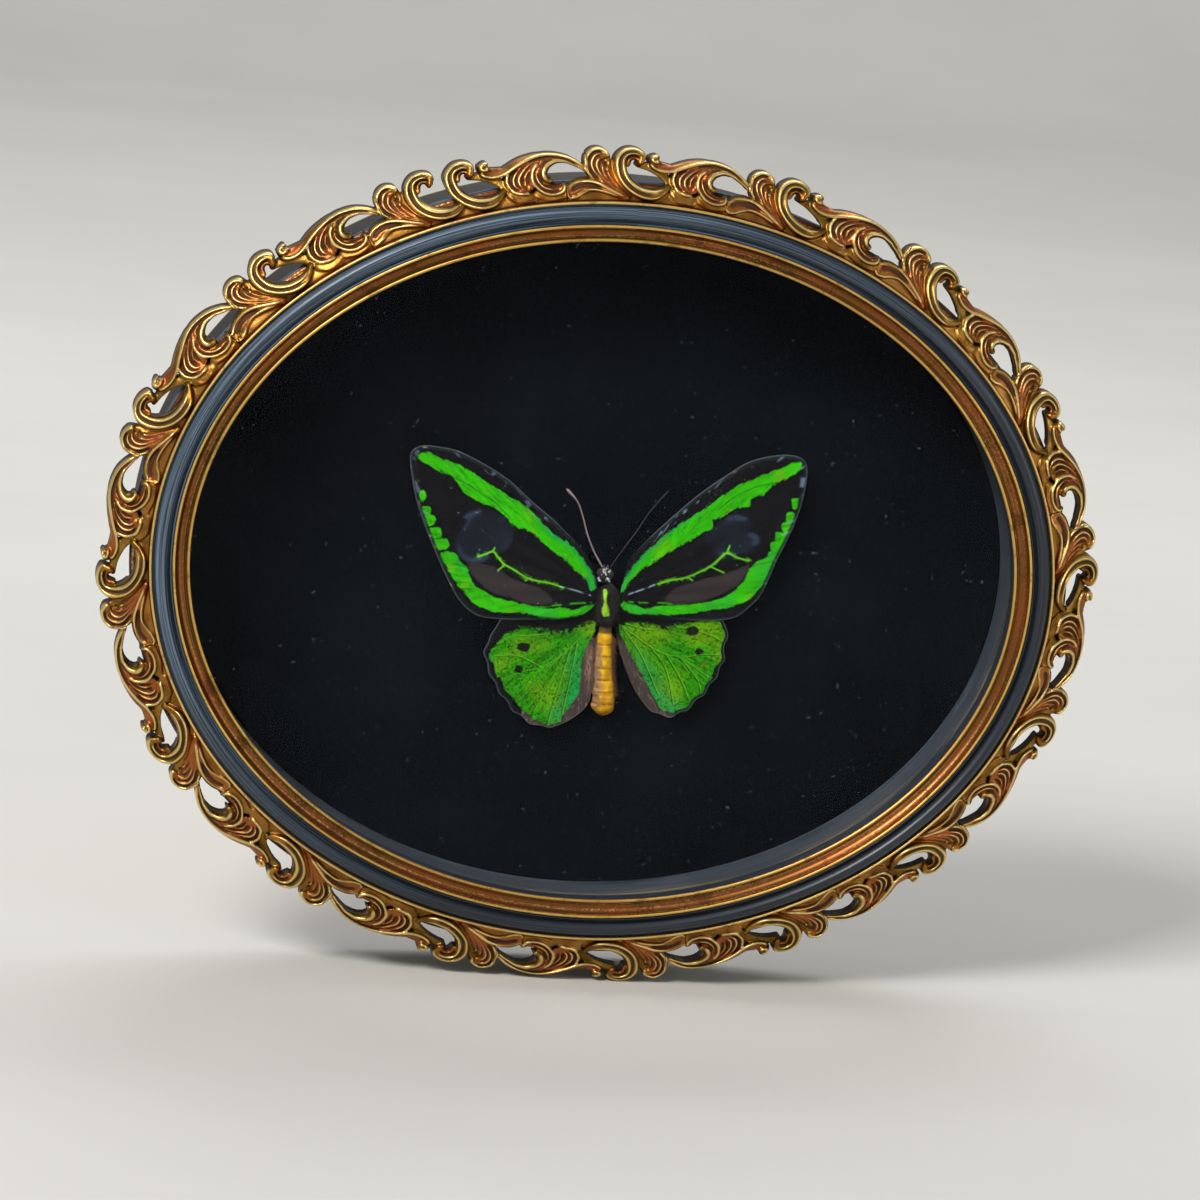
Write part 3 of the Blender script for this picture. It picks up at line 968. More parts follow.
# The birdwing. Each wing's curves are in mm from the middle of the sight oval: bands and patches
# are closed loops, and veins are lines
wings = {
    "left": {
        "band": [
            (-57.4, 29.7), (-54.8, 30.2), (-50.8, 28.9), (-46.9, 28), (-41.3, 25.2), (-36, 22.4),
            (-31.1, 19.6), (-25.8, 16.8), (-21.8, 14.3), (-18, 11), (-14.2, 7.3), (-8.9, 4.4),
            (-4.7, 0.7), (-1.4, -3.7), (0.7, -8.6), (-0.7, -9.7), (-2.5, -6.6), (-5.4, -4),
            (-9.6, -0.7), (-13.8, 2.2), (-17.1, 4.7), (-21.2, 7.6), (-25.2, 9), (-27.6, 10),
            (-28.6, 11.9), (-31, 13.3), (-33.5, 14.7), (-37.4, 15.7), (-40.7, 17.4), (-44, 20.4),
            (-46.9, 23.3), (-50.5, 24.6), (-53.7, 26.4), (-56.5, 27.8),
        ],
        "bandVein": [
            (-46.9, 23.3), (-42.5, 21.6), (-37.7, 18.8), (-33.6, 16.7), (-30.3, 13.8),
            (-27.8, 11.9),
        ],
        "spots": [(-55.3, 16.8), (-53.8, 11.9), (-52.6, 9.3), (-50.6, 5.5), (-48.4, 2.1),
          (-45.6, -2.1)],
        "border": [
            (-48.2, -0.7), (-46.8, -3.7), (-45, -7.2), (-42, -10.9), (-39, -13.9), (-35.7, -16.5),
            (-30.9, -17.9), (-25.4, -18.1), (-19.2, -18.3), (-15.2, -19.1), (-9.7, -19.1),
            (-5.9, -18.3), (-2.4, -17.3), (0.6, -15.1), (0.1, -14.2), (-3, -15.2), (-6, -16.2),
            (-10, -15.6), (-13.1, -16.3), (-17.8, -15.8), (-23.3, -15), (-28.9, -14.1),
            (-32.9, -12.7), (-37, -10.2), (-38.7, -8), (-40.1, -4.5), (-42.6, -2.7), (-44.3, -0.4),
        ],
        "hemLine": [(-18.5, -16.3), (-11.6, -15.1), (-5.4, -14.1), (-0.4, -13.6)],
        "cell": [
            (-41.7, 11.1), (-38.7, 12.9), (-34.9, 13.9), (-31.8, 12.9), (-28.4, 10.3),
            (-25.9, 7.7), (-27.1, 3), (-31.5, -0.5), (-37.5, -2.8), (-41.5, -1.8), (-42.8, 0.4),
            (-43.5, 3.5), (-42.9, 6.7), (-40.4, 9.6),
        ],
        "scent": [
            (-39.8, -3.7), (-37.5, -3.2), (-33.6, -3.7), (-29.6, -4.7), (-25.5, -7.6),
            (-19.9, -9.2), (-15.1, -10.9), (-12.4, -14.3), (-16.3, -15.2), (-21, -15),
            (-25.8, -13.5), (-30.5, -12.6), (-34.6, -10.1), (-38, -7.1),
        ],
        "vein": [
            (-36.9, -1.2), (-34.2, -0.1), (-32.2, 0.7), (-30.7, -0.8), (-28.6, -3), (-25.7, -4.4),
            (-21.7, -6.6), (-18.5, -7.6), (-13.7, -8.2), (-9.7, -9.3),
        ],
        "twigs": [[(-28.5, -3.4), (-30.3, -5.1)], [(-20.1, -6.9), (-21.5, -7.9)], [(-32.2, 0.7),
          (-31.8, 2)]],
        "paleVein": [(-10.5, -9.1), (-5.7, -10), (-0.9, -11.3)],
        "hind": [
            (-30.2, -30.6), (-27.7, -27.2), (-24.9, -23.9), (-20.3, -22.1), (-15.6, -22.6),
            (-10.9, -23.1), (-6.2, -22.4), (-2.5, -20.2), (1, -19.2), (1.6, -21.6), (0.3, -25.6),
            (-1, -28.9), (-1.8, -32.9), (-1.9, -36.9), (-1.9, -41.7), (-3.5, -45.8), (-6.3, -49.9),
            (-6.9, -52.3), (-10, -52.9), (-14, -52.3), (-16.5, -50.5), (-19.8, -48.3),
            (-22.4, -45.2), (-24.9, -43), (-26.4, -39.9), (-28.1, -38), (-29.1, -35.2),
            (-30.6, -33),
        ],
        "dots": [(-20.2, -29), (-21.2, -36)],
        "hindVeins": [
            [(0.6, -21.6), (-8.7, -30.9), (-14.6, -35.2), (-21.5, -37.4), (-26.7, -39.9)],
            [(-8.7, -30.9), (-15.8, -40.1), (-20.8, -45.9)],
            [(-7.2, -29.2), (-11.1, -39), (-15.8, -49.6)],
            [(-5.7, -28.4), (-7.7, -37.2), (-10.9, -52.1)],
            [(-3.9, -26.7), (-5, -37.1), (-6.7, -49.9)],
            [(0.8, -21.2), (-9.2, -24), (-18.5, -25.3), (-24.7, -26.1), (-29.2, -28.7)],
            [(-14.6, -35.2), (-21.9, -32.1), (-29.3, -32.5)],
        ],
    },
    "right": {
        "band": [
            (61.2, 34.3), (58.1, 33.7), (53.5, 31.5), (48.3, 28.8), (43.7, 26.5), (39.2, 23.9),
            (34.9, 20.1), (31.2, 17.1), (27.0, 14.1), (22.2, 10.2), (17.8, 5.7), (14.4, 2.1),
            (11.6, -1.6), (9.3, -5.8), (8.0, -9.7), (9.5, -9.1), (11.9, -5), (14, -2.5),
            (17.7, 0.1), (22.1, 3.5), (26.6, 6.6), (31.8, 10), (35.5, 12.2), (35.3, 14.6),
            (38.4, 15.9), (42.1, 18.5), (46.7, 20), (46.5, 21.6), (50.3, 23.4), (53.9, 27.1),
            (58.4, 29.8), (61.3, 32.3),
        ],
        "bandVein": [(36.6, 17.8), (38.8, 19.9), (42.5, 22.9), (48.5, 26), (53.9, 27.5)],
        "spots": [(60.7, 21.5), (59.7, 16.8), (58.9, 13.6), (57.4, 10.4), (56.5, 7.3)],
        "border": [
            (58.1, 6.5), (57.6, 3.3), (55.6, -0), (54.3, -3.3), (51.4, -6.6), (49.3, -9.1),
            (44.8, -11.8), (39.4, -13.3), (33.9, -14.4), (27.7, -15.6), (21.5, -16.2),
            (17.5, -16.1), (12.8, -16.3), (9.1, -14), (9.4, -13), (13.4, -13.6), (17, -14.5),
            (21.2, -13.5), (26.7, -12.8), (32.1, -12.1), (36.8, -11.1), (41.4, -9.2), (44.3, -7),
            (46.5, -4.5), (47.8, -1.3), (49.1, 1.2), (50.6, 2.8), (52.9, 3.8), (55, 6.3),
        ],
        "hemLine": [(9.8, -12.6), (14.9, -12.7), (21.1, -12.4), (29.1, -12.9)],
        "cell": [
            (47.8, 16.5), (46.6, 15.9), (42.3, 16.4), (38.5, 15), (35.5, 12.2), (33.5, 8.2),
            (37, 4.4), (43.4, 4), (48, 4.9), (49.4, 7.5), (49.9, 9.9), (47.4, 12.1), (48.4, 13.8),
        ],
        "scent": [
            (48, 1.1), (43.8, -0.7), (39.2, -2.6), (33.1, -4.5), (27, -6.9), (23.6, -9),
            (22.7, -11.9), (25.9, -12.5), (32.1, -11.7), (37.5, -9.8), (43.5, -6.3), (46.7, -2.9),
        ],
        "vein": [
            (47.8, 2.5), (44.2, 3.3), (40.6, 4.5), (38, 2.1), (35.8, -0), (32.1, -2.2), (28.3, -4),
            (23.7, -5.1), (19.9, -6.5),
        ],
        "twigs": [[(40.6, 4.5), (41.4, 6.9)], [(35.8, -0), (40.3, -1.7)], [(29.1, -3.8),
          (30.6, -4.7)]],
        "paleVein": [(19.8, -6.3), (16.1, -8.1), (11.1, -10.2)],
        "hind": [
            (9.7, -19.5), (13.9, -18.9), (18.7, -19), (23.5, -19.9), (27.3, -18.4), (32.7, -17.4),
            (39.8, -17), (41.6, -19.3), (42.6, -22.4), (41.8, -26.4), (42.1, -29.6), (40, -32.9),
            (39.2, -37), (37.1, -40.3), (35.8, -43.6), (33.6, -45.3), (29, -47.2), (26.6, -46.9),
            (24.1, -45.8), (21.4, -42), (19.1, -38.1), (15.9, -33.5), (13.2, -28.9), (10.4, -24.3),
            (9, -21.6),
        ],
        "dots": [(32.1, -20.9), (34.8, -27.2), (36.7, -31.4)],
        "hindVeins": [
            [(9.5, -20.7), (19.3, -26.9), (24.3, -29), (29.1, -30), (38.2, -35.4)],
            [(19.3, -26.9), (24.7, -33.8), (28, -44.8)],
            [(24.3, -29), (29.6, -36.7), (33.5, -44.5)],
            [(29.1, -30), (34.8, -36.4), (36.4, -41.1)],
            [(9.8, -21.1), (16.4, -29.5), (23, -41.9)],
            [(10.1, -19.9), (18.9, -21.4), (27.4, -20.1), (37.1, -21.9), (42, -24)],
            [(29.1, -30), (35.3, -28.4), (41.6, -28.1)],
        ],
    },
}
outlines = {
    "forewing_left": [
        (0.9, -6.4), (-2.9, 0.9), (-12.0, 9.8), (-21.4, 17.1), (-30.3, 24.1), (-43.6, 30.7),
        (-52.0, 32.3), (-57.0, 32.2), (-59.9, 29.6), (-59.2, 23.4), (-57.2, 15.6), (-53.8, 7.3),
        (-49.8, -0.9), (-45.8, -8.5), (-41.5, -15.2), (-35.6, -19.6), (-26.8, -20.4),
        (-18.4, -19.9), (-6.6, -19.2), (0.7, -14.3),
    ],
    "forewing_right": [
        (8.5, -9.8), (10.1, -0.2), (14.0, 5.4), (21.7, 13.8), (29.8, 21.8), (37.8, 28.3),
        (45.8, 33.8), (55.3, 36.3), (61.5, 35.6), (63.6, 32.0), (63.3, 24.8), (62.0, 17.8),
        (59.3, 9.7), (56.4, 2.6), (52.9, -7.2), (49.8, -11.5), (44.2, -16.0), (34.0, -17.2),
        (24.4, -17.4), (11.5, -17.2), (8.5, -13.2),
    ],
    "hindwing_left": [
        (1.0, -16.6), (-24.0, -18.0), (-29.5, -23.4), (-32.2, -31.1), (-29.9, -38.2),
        (-26.2, -44.2), (-22.0, -49.0), (-17.4, -52.3), (-12.2, -53.9), (-7.0, -53.0),
        (-0.7, -48.5), (1.8, -44.2), (1.9, -37.2), (1.7, -30.3), (1.6, -24.2),
    ],
    "hindwing_right": [
        (8.6, -15.6), (24.4, -14.6), (38.6, -15.2), (43.3, -20.8), (42.6, -25.3), (42.6, -30.4),
        (40.0, -36.6), (36.0, -42.3), (31.3, -46.7), (27.1, -48.5), (21.9, -47.2), (18.1, -43.9),
        (14.2, -38.1), (9.9, -28.7), (8.3, -22.8),
    ],
}
scales = {
    "cell": 0.21,
    "thick": 0.24,
    "black": "0b0a0c",
    "rim": "141a1c",
    "rimLine": "5c666c",
    "green": "259402",
    "greenBright": "34ae03",
    "greenDeep": "124604",
    "greenGold": "7c9a06",
    "greenBlue": "06843e",
    "hindGreen": "247c01",
    "hindBright": "3e9c04",
    "cellBlue": "171c26",
    "cellEdge": "38425a",
    "scent": "302a2a",
    "brown": "4a3e3a",
    "brownRay": "8c7a70",
    "vein": "62b81a",
    "paleVein": "9fb4c8",
    "hindVein": "0c3a08",
    "litVein": "8fd23c",
    "rowGap": "0a2c04",
    "redDot": "8a3a14",
    "tan": "8a6a58",
    "hindRim": "101416",
    "dash": "b5b088",
    "hair": "6c7c92",
    "fleck": "b8c2c8",
    "underside": "15120f",
}


def toLine(x, y, points, count):
    # distance to the smooth curve through the points
    return nearest(x, y, curveThrough(points, count))[0]


# each wing's height above the rear rim, and the place that its rays spread from
wingRoots = {
    "forewing_left": (13.15, (1.8, -10.5)),
    "forewing_right": (13.15, (8.2, -11.5)),
    "hindwing_left": (12.2, (2.0, -19.5)),
    "hindwing_right": (12.2, (8.2, -19.5)),
}


def lineMask(x, y, points, wide, soft):
    # 1 on a line of the given half width, fading to 0 just outside it
    return 1.0 - between(toLine(x, y, points, 12 * len(points)), wide, wide + soft)


def loopMask(x, y, points, ragged, size, seed, brush=0.0):
    # 1 inside a closed loop whose edge is frayed by a given amount, and drawn out by a brush
    soft = 0.14
    edge = insideOf(x, y, curveThrough(points, 8 * len(points), True)) + brush
    fray = fuzz(x, y, size, seed) + 0.6 * fuzz(x, y, size * 0.4, seed + 1) - 0.8
    return between(edge + ragged * fray, -soft, soft)


def polar(x, y, root):
    # distance and direction from a wing's root
    return np.hypot(x - root[0], y - root[1]), np.arctan2(y - root[1], x - root[0])


def over(base, colour, share):
    # a colour laid over what is there, by a share from 0 to 1
    return blend(base, linear(colour), share)


def forePattern(x, y, edge, curves, root, side):
    # black, then patches, the two green bands with their spots, the vein's twigs, and the clear rim
    s = scales
    reach, turn = polar(x, y, root)
    fibre = fuzz(turn * 105.0, reach * 0.4, 1.0, 31) * 0.55 + fuzz(x, y, 0.34, 32) * 0.45
    count = len(x)
    shade = over(plain(s["black"], count), "16141a", 0.6 * fuzz(x, y, 4.0, 33) * fibre)
    cell = insideOf(x, y, curveThrough(curves["cell"], 120, True))
    mottle = fuzz(x, y, 3.2, 34)
    shade = over(shade, s["cellBlue"], between(cell + mottle - 0.5, -0.2, 0.2) * (0.45 + 0.5 * mottle))
    bright = np.exp(-((cell - 0.5) / 0.9) ** 2) * between(mottle, 0.25, 0.75)
    shade = over(shade, s["cellEdge"], bright * 0.5 * between(np.abs(x - root[0]), 26.0, 36.0))
    scent = loopMask(x, y, curves["scent"], 0.5, 0.8, 35)
    shade = over(shade, s["scent"], scent * (0.72 + 0.28 * fuzz(x, y, 1.2, 36)))
    green = loopMask(x, y, curves["band"], 0.45, 1.1, 37, brush=1.3 * (fibre - 0.5))
    green = green * (1.0 - 0.8 * lineMask(x, y, curves["bandVein"], 0.03, 0.2))
    border = loopMask(x, y, curves["border"], 0.4, 0.9, 38, brush=0.8 * (fibre - 0.5))
    cuts = between(np.abs(((turn * 34.0) % 4.0) - 2.0), 0.07, 0.22)
    border = border * (1.0 - (1.0 - cuts) * 0.55 * between(reach, 36.0, 44.0))
    spots = np.zeros(count)
    spotLoop = ((-1, 1), (0.7, 1.1), (1.25, 0), (0.8, -1), (-0.6, -1.2), (-1.2, 0))
    for number, (sx, sy) in enumerate(curves["spots"]):
        wide, tall = 0.9 + 0.27 * number, 1.45
        spot = np.array([(sx + wide * a, sy + tall * b) for a, b in spotLoop])
        spots = np.maximum(spots, loopMask(x, y, spot, 0.45, 0.7, 40 + number))
    hem = lineMask(x, y, curves["hemLine"], 0.12, 0.2) * between(fuzz(x, y, 1.5, 47), 0.3, 0.5)
    vein = lineMask(x, y, curves["vein"], 0.14, 0.22)
    for twig in curves["twigs"]:
        vein = np.maximum(vein, lineMask(x, y, twig, 0.10, 0.2))
    speck = between(fuzz(x, y, 0.5, 48), 0.62, 0.8)
    near = between(1.3 - toLine(x, y, curves["vein"], 90), 0.0, 1.0)
    vein = np.maximum(vein, near * speck * 0.6)
    whole = np.clip(green + border + spots + hem * 0.8, 0.0, 1.0)
    hue = over(plain(s["green"], count), s["greenBright"], between(fibre, 0.35, 0.75) * 0.7)
    hue = over(hue, s["greenDeep"], between(0.45 - fibre, 0.0, 0.3) * 0.55)
    hue = over(hue, s["greenGold"], between(fuzz(x, y, 5.0, 49), 0.66, 0.86) * 0.3)
    upperSide = curves["band"][: len(curves["band"]) // 2]
    costa = between(toLine(x, y, upperSide, 90), 1.6, 0.2)
    hue = over(hue, s["greenBlue"], costa * between(reach, 44.0, 22.0) * 0.7)
    hue = over(hue, s["greenBlue"], border * between(fuzz(x, y, 6.0, 50), 0.6, 0.75) * 0.22)
    shade = blend(shade, hue, whole)
    shade = over(shade, s["vein"], vein * 0.85)
    pale = lineMask(x, y, curves["paleVein"], 0.08, 0.22) * between(fuzz(x, y, 0.8, 51), 0.25, 0.6)
    shade = over(shade, s["paleVein"], pale * 0.6)
    rim = between(edge, 1.25, 0.95) * between(reach, 10.0, 24.0)
    shade = over(shade, s["rim"], rim * 0.85)
    rimLine = between(edge, 0.34, 0.08) * between(reach, 14.0, 30.0)
    shade = over(shade, s["rimLine"], rimLine * 0.6)
    # pale hairs on the leading edge and short dashes along the outer margin
    dash = between(edge, 0.9, 0.3) * between(fuzz(x * 0.7, y, 1.5, 52), 0.80, 0.9)
    shade = over(shade, s["dash"], dash * between(reach, 44.0, 50.0) * 0.8)
    streak = between(fuzz(turn * 150.0, reach, 2.4, 53), 0.66, 0.86)
    streak = streak * between(np.abs(edge - 1.2), 1.1, 0.2)
    lead = (y > root[1] + 0.35 * np.abs(x - root[0]) + 2.0) * between(reach, 16.0, 26.0)
    shade = over(shade, s["hair"], streak * lead * (0.75 if side == "right" else 0.35))
    fleck = between(fuzz(x, y, 0.42, 54), 0.955, 0.985)
    shade = over(shade, s["fleck"], fleck * 0.55)
    return shade, whole, fibre


def hindPattern(x, y, edge, curves, root, side):
    # green drawn out in rays from the root, dusted black at its top, with eye spots and thin veins
    s = scales
    reach, turn = polar(x, y, root)
    fibre = fuzz(turn * 60.0, reach * 0.25, 1.0, 61) * 0.5 + fuzz(x, y, 0.34, 62) * 0.5
    count = len(x)
    # how far a place is inside the green, for the half of the wing beside the body only
    nearBody = np.abs(x - 4.7) < 24.0
    middle = np.where(nearBody, insideOf(x, y, curveThrough(curves["hind"], 200, True)), 9.0)
    bare = between(middle, 1.0, -1.0) * between(-y, 22.0, 27.0)
    shade = over(plain(s["black"], count), s["brown"], 0.75 * bare * (0.6 + 0.4 * fibre))
    rays = between(fuzz(turn * 120.0, reach, 1.4, 63), 0.7, 0.9)
    shade = over(shade, s["brownRay"], rays * bare * 0.4)
    green = loopMask(x, y, curves["hind"], 0.5, 0.7, 64, brush=0.6 * (fibre - 0.5))
    top = curves["hind"][2:9] if side == "left" else curves["hind"][0:6]
    dusting = between(toLine(x, y, top, 60), -0.6, 4.2)
    speck = fuzz(x, y, 0.36, 65) * 0.7 + fuzz(x, y, 1.6, 66) * 0.3
    green = green * between(speck + dusting * 0.95, 0.55, 0.8)
    hue = over(plain(s["hindGreen"], count), s["hindBright"], between(fibre, 0.5, 0.85) * 0.6)
    hue = over(hue, s["greenDeep"], between(0.55 - fibre, 0.0, 0.34) * 0.8)
    gold = between(fuzz(x, y, 7.0, 67) + 0.25 * between(edge, 3.0, 9.0), 0.5, 0.95)
    hue = over(hue, s["greenGold"], gold * 0.4)
    inner = curves["hind"][8:17] if side == "left" else curves["hind"][17:]
    beside = between(toLine(x, y, inner, 90), 7.0, 1.5) * between(-y, 24.0, 36.0)
    hue = over(hue, s["greenBlue"], beside * between(fibre, 0.2, 0.6) * 0.85)
    hem = between(edge, 3.2, 1.4) * between(fuzz(x, y, 5.5, 69), 0.5, 0.75)
    hue = over(hue, s["greenBlue"], hem * 0.25)
    rows = fuzz(x, y, 0.3, 70)
    hue = over(hue, s["rowGap"], between(rows, 0.55, 0.8) * 0.8)
    for vein in curves["hindVeins"]:
        hue = over(hue, s["hindVein"], lineMask(x, y, vein, 0.05, 0.22) * 0.75)
        lit = np.array(vein) + (0.35, 0.25)
        hue = over(hue, s["litVein"], lineMask(x, y, lit, 0.03, 0.22) * 0.25)
    shade = blend(shade, hue, green)
    dotKinds = ((1.52, 1.35, s["black"]), (1.2, 1.05, s["black"]), (0.4, 1.0, s["redDot"]))
    for number, (dx, dy) in enumerate(curves["dots"]):
        radius, flat, colour = dotKinds[number]
        away = np.hypot((x - dx) / flat, y - dy) + 0.5 * (fuzz(x, y, 0.6, 71 + number) - 0.5)
        shade = over(shade, colour, between(away, radius + 0.2, radius - 0.2) * 0.97)
    if side == "left":
        # a tan hem lies along the abdomen
        tan = between(x + 0.06 * (y + 33.0), -1.3, 0.6)
        tan = tan * between(-y, 25.5, 31.0) * between(-y, 45.0, 37.0)
        tan = tan * between(fuzz(turn * 160.0, reach * 0.3, 1.0, 74), 0.1, 0.8)
        shade = over(shade, s["tan"], tan * 0.85)
    rim = between(edge, 1.1, 0.8) * between(middle, 0.4, 1.4)
    shade = over(shade, s["hindRim"], rim * 0.95)
    rimLine = between(edge, 0.34, 0.08) * between(reach, 20.0, 30.0)
    shade = over(shade, s["rimLine"], rimLine * 0.55)
    return shade, green, fibre


def wingFinish():
    # scales: green a little smoother than the black, both flecked light and dark by fine noise
    wing = Finish("scaledWing")
    shade, green = wing.shade("pattern", 0), wing.shade("green")
    grain = wing.noise(2600.0, 2.0, 0.6)
    flash = wing.mix(wing.step(grain, 0.3, 0.75), (0.80, 0.80, 0.80), (1.18, 1.18, 1.18))
    base = wing.mix(1.0, shade, flash, "MULTIPLY")
    rough = 0.62 - green * 0.12 + grain * 0.12
    relief = wing.bump(grain, 0.3, 0.0002)
    wing.ready(basecolor=base, roughness=rough, specularIorLevel=0.05, normal=relief)
    return wing


def makeWing(node, low, root, finish):
    # a grid cut to the outline, pleated along rays from the root, and given a back
    cell, thick, margin = scales["cell"], scales["thick"], 0.6
    pair, side = node.split("_")
    loop = curveThrough(outlines[node], 260, True)
    if pair == "hindwing":
        # its lower margin is lightly scalloped
        lower = between(-24.0 - loop[:, 1], 0.0, 6.0)
        lower = lower * between(np.abs(loop[:, 0] - root[0]), 9.0, 14.0)
        wave = 0.42 * np.cos(np.arange(len(loop)) * 0.42) * lower
        pull = loop - np.array(root)
        loop = loop + pull / np.linalg.norm(pull, axis=1)[:, None] * wave[:, None]
    (left, bottom), (right, top) = loop.min(0) - margin, loop.max(0) + margin
    x, y = np.meshgrid(np.arange(left, right, cell), np.arange(bottom, top, cell), indexing="ij")
    inside = insideOf(x, y, loop)
    used, faces = cutOut(inside)
    px, py, depth = x.ravel()[used], y.ravel()[used], inside.ravel()[used]
    # corners left outside move to the nearest place on the outline
    ring = np.vstack([loop, loop[:1]])
    outer = np.flatnonzero(depth < 0)
    along = nearest(px[outer], py[outer], ring)[1] * len(loop)
    px[outer] = np.interp(along, np.arange(len(ring)), ring[:, 0])
    py[outer] = np.interp(along, np.arange(len(ring)), ring[:, 1])
    depth = np.maximum(depth, 0.0)
    reach, turn = polar(px, py, root)
    pattern = hindPattern if pair == "hindwing" else forePattern
    shade, green, fibre = pattern(px, py, depth, wings[side], root, side)
    if pair == "hindwing":
        pleat = 0.16 * np.cos(turn * 22.0) * between(reach, 4.0, 18.0)
    else:
        pleat = 0.12 * np.cos(turn * 30.0) * between(reach, 6.0, 22.0)
        pleat = pleat - 0.30 * between(depth, 1.4, 0.0)
    sag = 0.25 * (fuzz(px, py, 17.0, 81) - 0.5)
    front = low + thick + pleat + sag + 0.03 * (fibre - 0.5)
    count = len(px)
    sides = openEdges(faces)
    wall = np.stack([sides[:, 1], sides[:, 0], sides[:, 0] + count, sides[:, 1] + count], -1)
    places = np.vstack([np.stack([px, py, height], -1) for height in (front, front - thick)])
    under = over(shade, scales["underside"], np.full(count, 0.55))
    shades = {"pattern": np.vstack([shade, under]), "green": np.tile(green, 2)}
    shell = [np.vstack([faces, faces[:, ::-1] + count, wall])]
    piece = putMesh(node.replace("_", "Sheet_"), places, shell, finish, shades)
    fit(piece, "wing", node)
    print(node, len(faces), "cells")


def makeWings():
    finish = wingFinish()
    for node, (low, root) in wingRoots.items():
        makeWing(node, low, root, finish)


strandPlaces = 10  # the vertices of one hair


def unit(ways):
    # directions brought to a length of 1
    return ways / np.linalg.norm(ways, axis=1)[:, None]


def tube(path, radii, around, dent=None, squash=1.0):
    # circles carried along a path, closed by a hub at each end; dent adds to the radius
    ahead = unit(np.gradient(path, axis=0))
    side = unit(np.cross(ahead, (0.0, 0.0, 1.0)))
    up = np.cross(side, ahead)
    turn = np.linspace(0, 2 * np.pi, around, endpoint=False)
    girth = radii[:, None] * np.ones(around)
    if dent is not None:
        girth = girth + dent(np.arange(len(path))[:, None], turn[None])
    across = np.cos(turn)[None, :, None] * side[:, None]
    across = across + squash * np.sin(turn)[None, :, None] * up[:, None]
    rim = path[:, None] + girth[..., None] * across
    count = len(path) * around
    hubs = [path[:1] - ahead[:1] * radii[0] * 0.5, path[-1:] + ahead[-1:] * radii[-1] * 0.5]
    places = np.vstack([rim.reshape(-1, 3), *hubs])
    ring, near = np.arange(around), np.roll(np.arange(around), -1)
    last = count - around
    start = np.stack([np.full(around, count), ring, near], -1)
    end = np.stack([np.full(around, count + 1), near + last, ring + last], -1)
    return places, [gridFaces(len(path), around, False, True), start, end]


def hairs(roots, aims, lengths, radius, sag=0.0):
    # three-sided strands of three narrowing rings and a tip: root + aim * length, with a drop
    count, thirdTurn = len(roots), 2.0944
    aims = unit(aims)
    side = unit(np.cross(aims, (0.12, 0.35, 0.93)))
    up = np.cross(side, aims)
    sag = np.broadcast_to(sag, roots.shape)
    share = np.array([0.0, 0.35, 0.7])
    core = roots[:, None] + aims[:, None] * (lengths[:, None] * share)[..., None]
    core = core + sag[:, None] * (share**2)[None, :, None]
    turn = np.arange(3)[:, None] * thirdTurn
    across = np.cos(turn) * side[:, None, None] + np.sin(turn) * up[:, None, None]
    thick = radius[:, None] * (1.0 - share * 0.75)
    rim = core[:, :, None] + thick[..., None, None] * across
    tip = roots + aims * lengths[:, None] + sag
    places = np.concatenate([rim.reshape(count, 9, 3), tip[:, None]], 1)
    sides = [[a + b, a + (b + 1) % 3, a + 3 + (b + 1) % 3, a + 3 + b] for a in (0, 3) for b in range(3)]
    ends = [[6 + b, 6 + (b + 1) % 3, 9] for b in range(3)] + [[2, 1, 0]]
    start = np.arange(count)[:, None, None] * strandPlaces
    faces = [(start + sides).reshape(-1, 4), (start + ends).reshape(-1, 3)]
    return places.reshape(-1, 3), faces


def orb(centre, half, rows, columns, dent=0.0, seed=0):
    # an ellipsoid with noise on its radius and a vertex at each pole, along the body
    tilt = np.linspace(0, np.pi, rows + 2)[1:-1, None]
    turn = np.linspace(0, 2 * np.pi, columns, endpoint=False)[None]
    bumps = fuzz(3.0 + np.sin(turn) * 3 + tilt * 2, 3.0 + np.cos(turn) * 3, 0.9, seed)
    swell = 1.0 + dent * (bumps - 0.5)
    x, z = np.sin(tilt) * np.cos(turn) * swell, np.sin(tilt) * np.sin(turn) * swell
    places = np.stack([x, np.cos(tilt) * swell, z], -1).reshape(-1, 3)
    places = np.vstack([places, [[0, 1, 0]], [[0, -1, 0]]]) * np.asarray(half) + centre
    count = rows * columns
    last = count - columns
    ring, near = np.arange(columns), np.roll(np.arange(columns), -1)
    start = np.stack([np.full(columns, count), ring, near], -1)
    end = np.stack([np.full(columns, count + 1), near + last, ring + last], -1)
    return places, [gridFaces(rows, columns, False, True), start, end]


def joined(parts):
    # several shapes as one list of places and faces
    places, faces, start = [], [], 0
    for shape, groups in parts:
        places.append(shape)
        faces += [np.asarray(group) + start for group in groups]
        start += len(shape)
    return np.vstack(places), faces


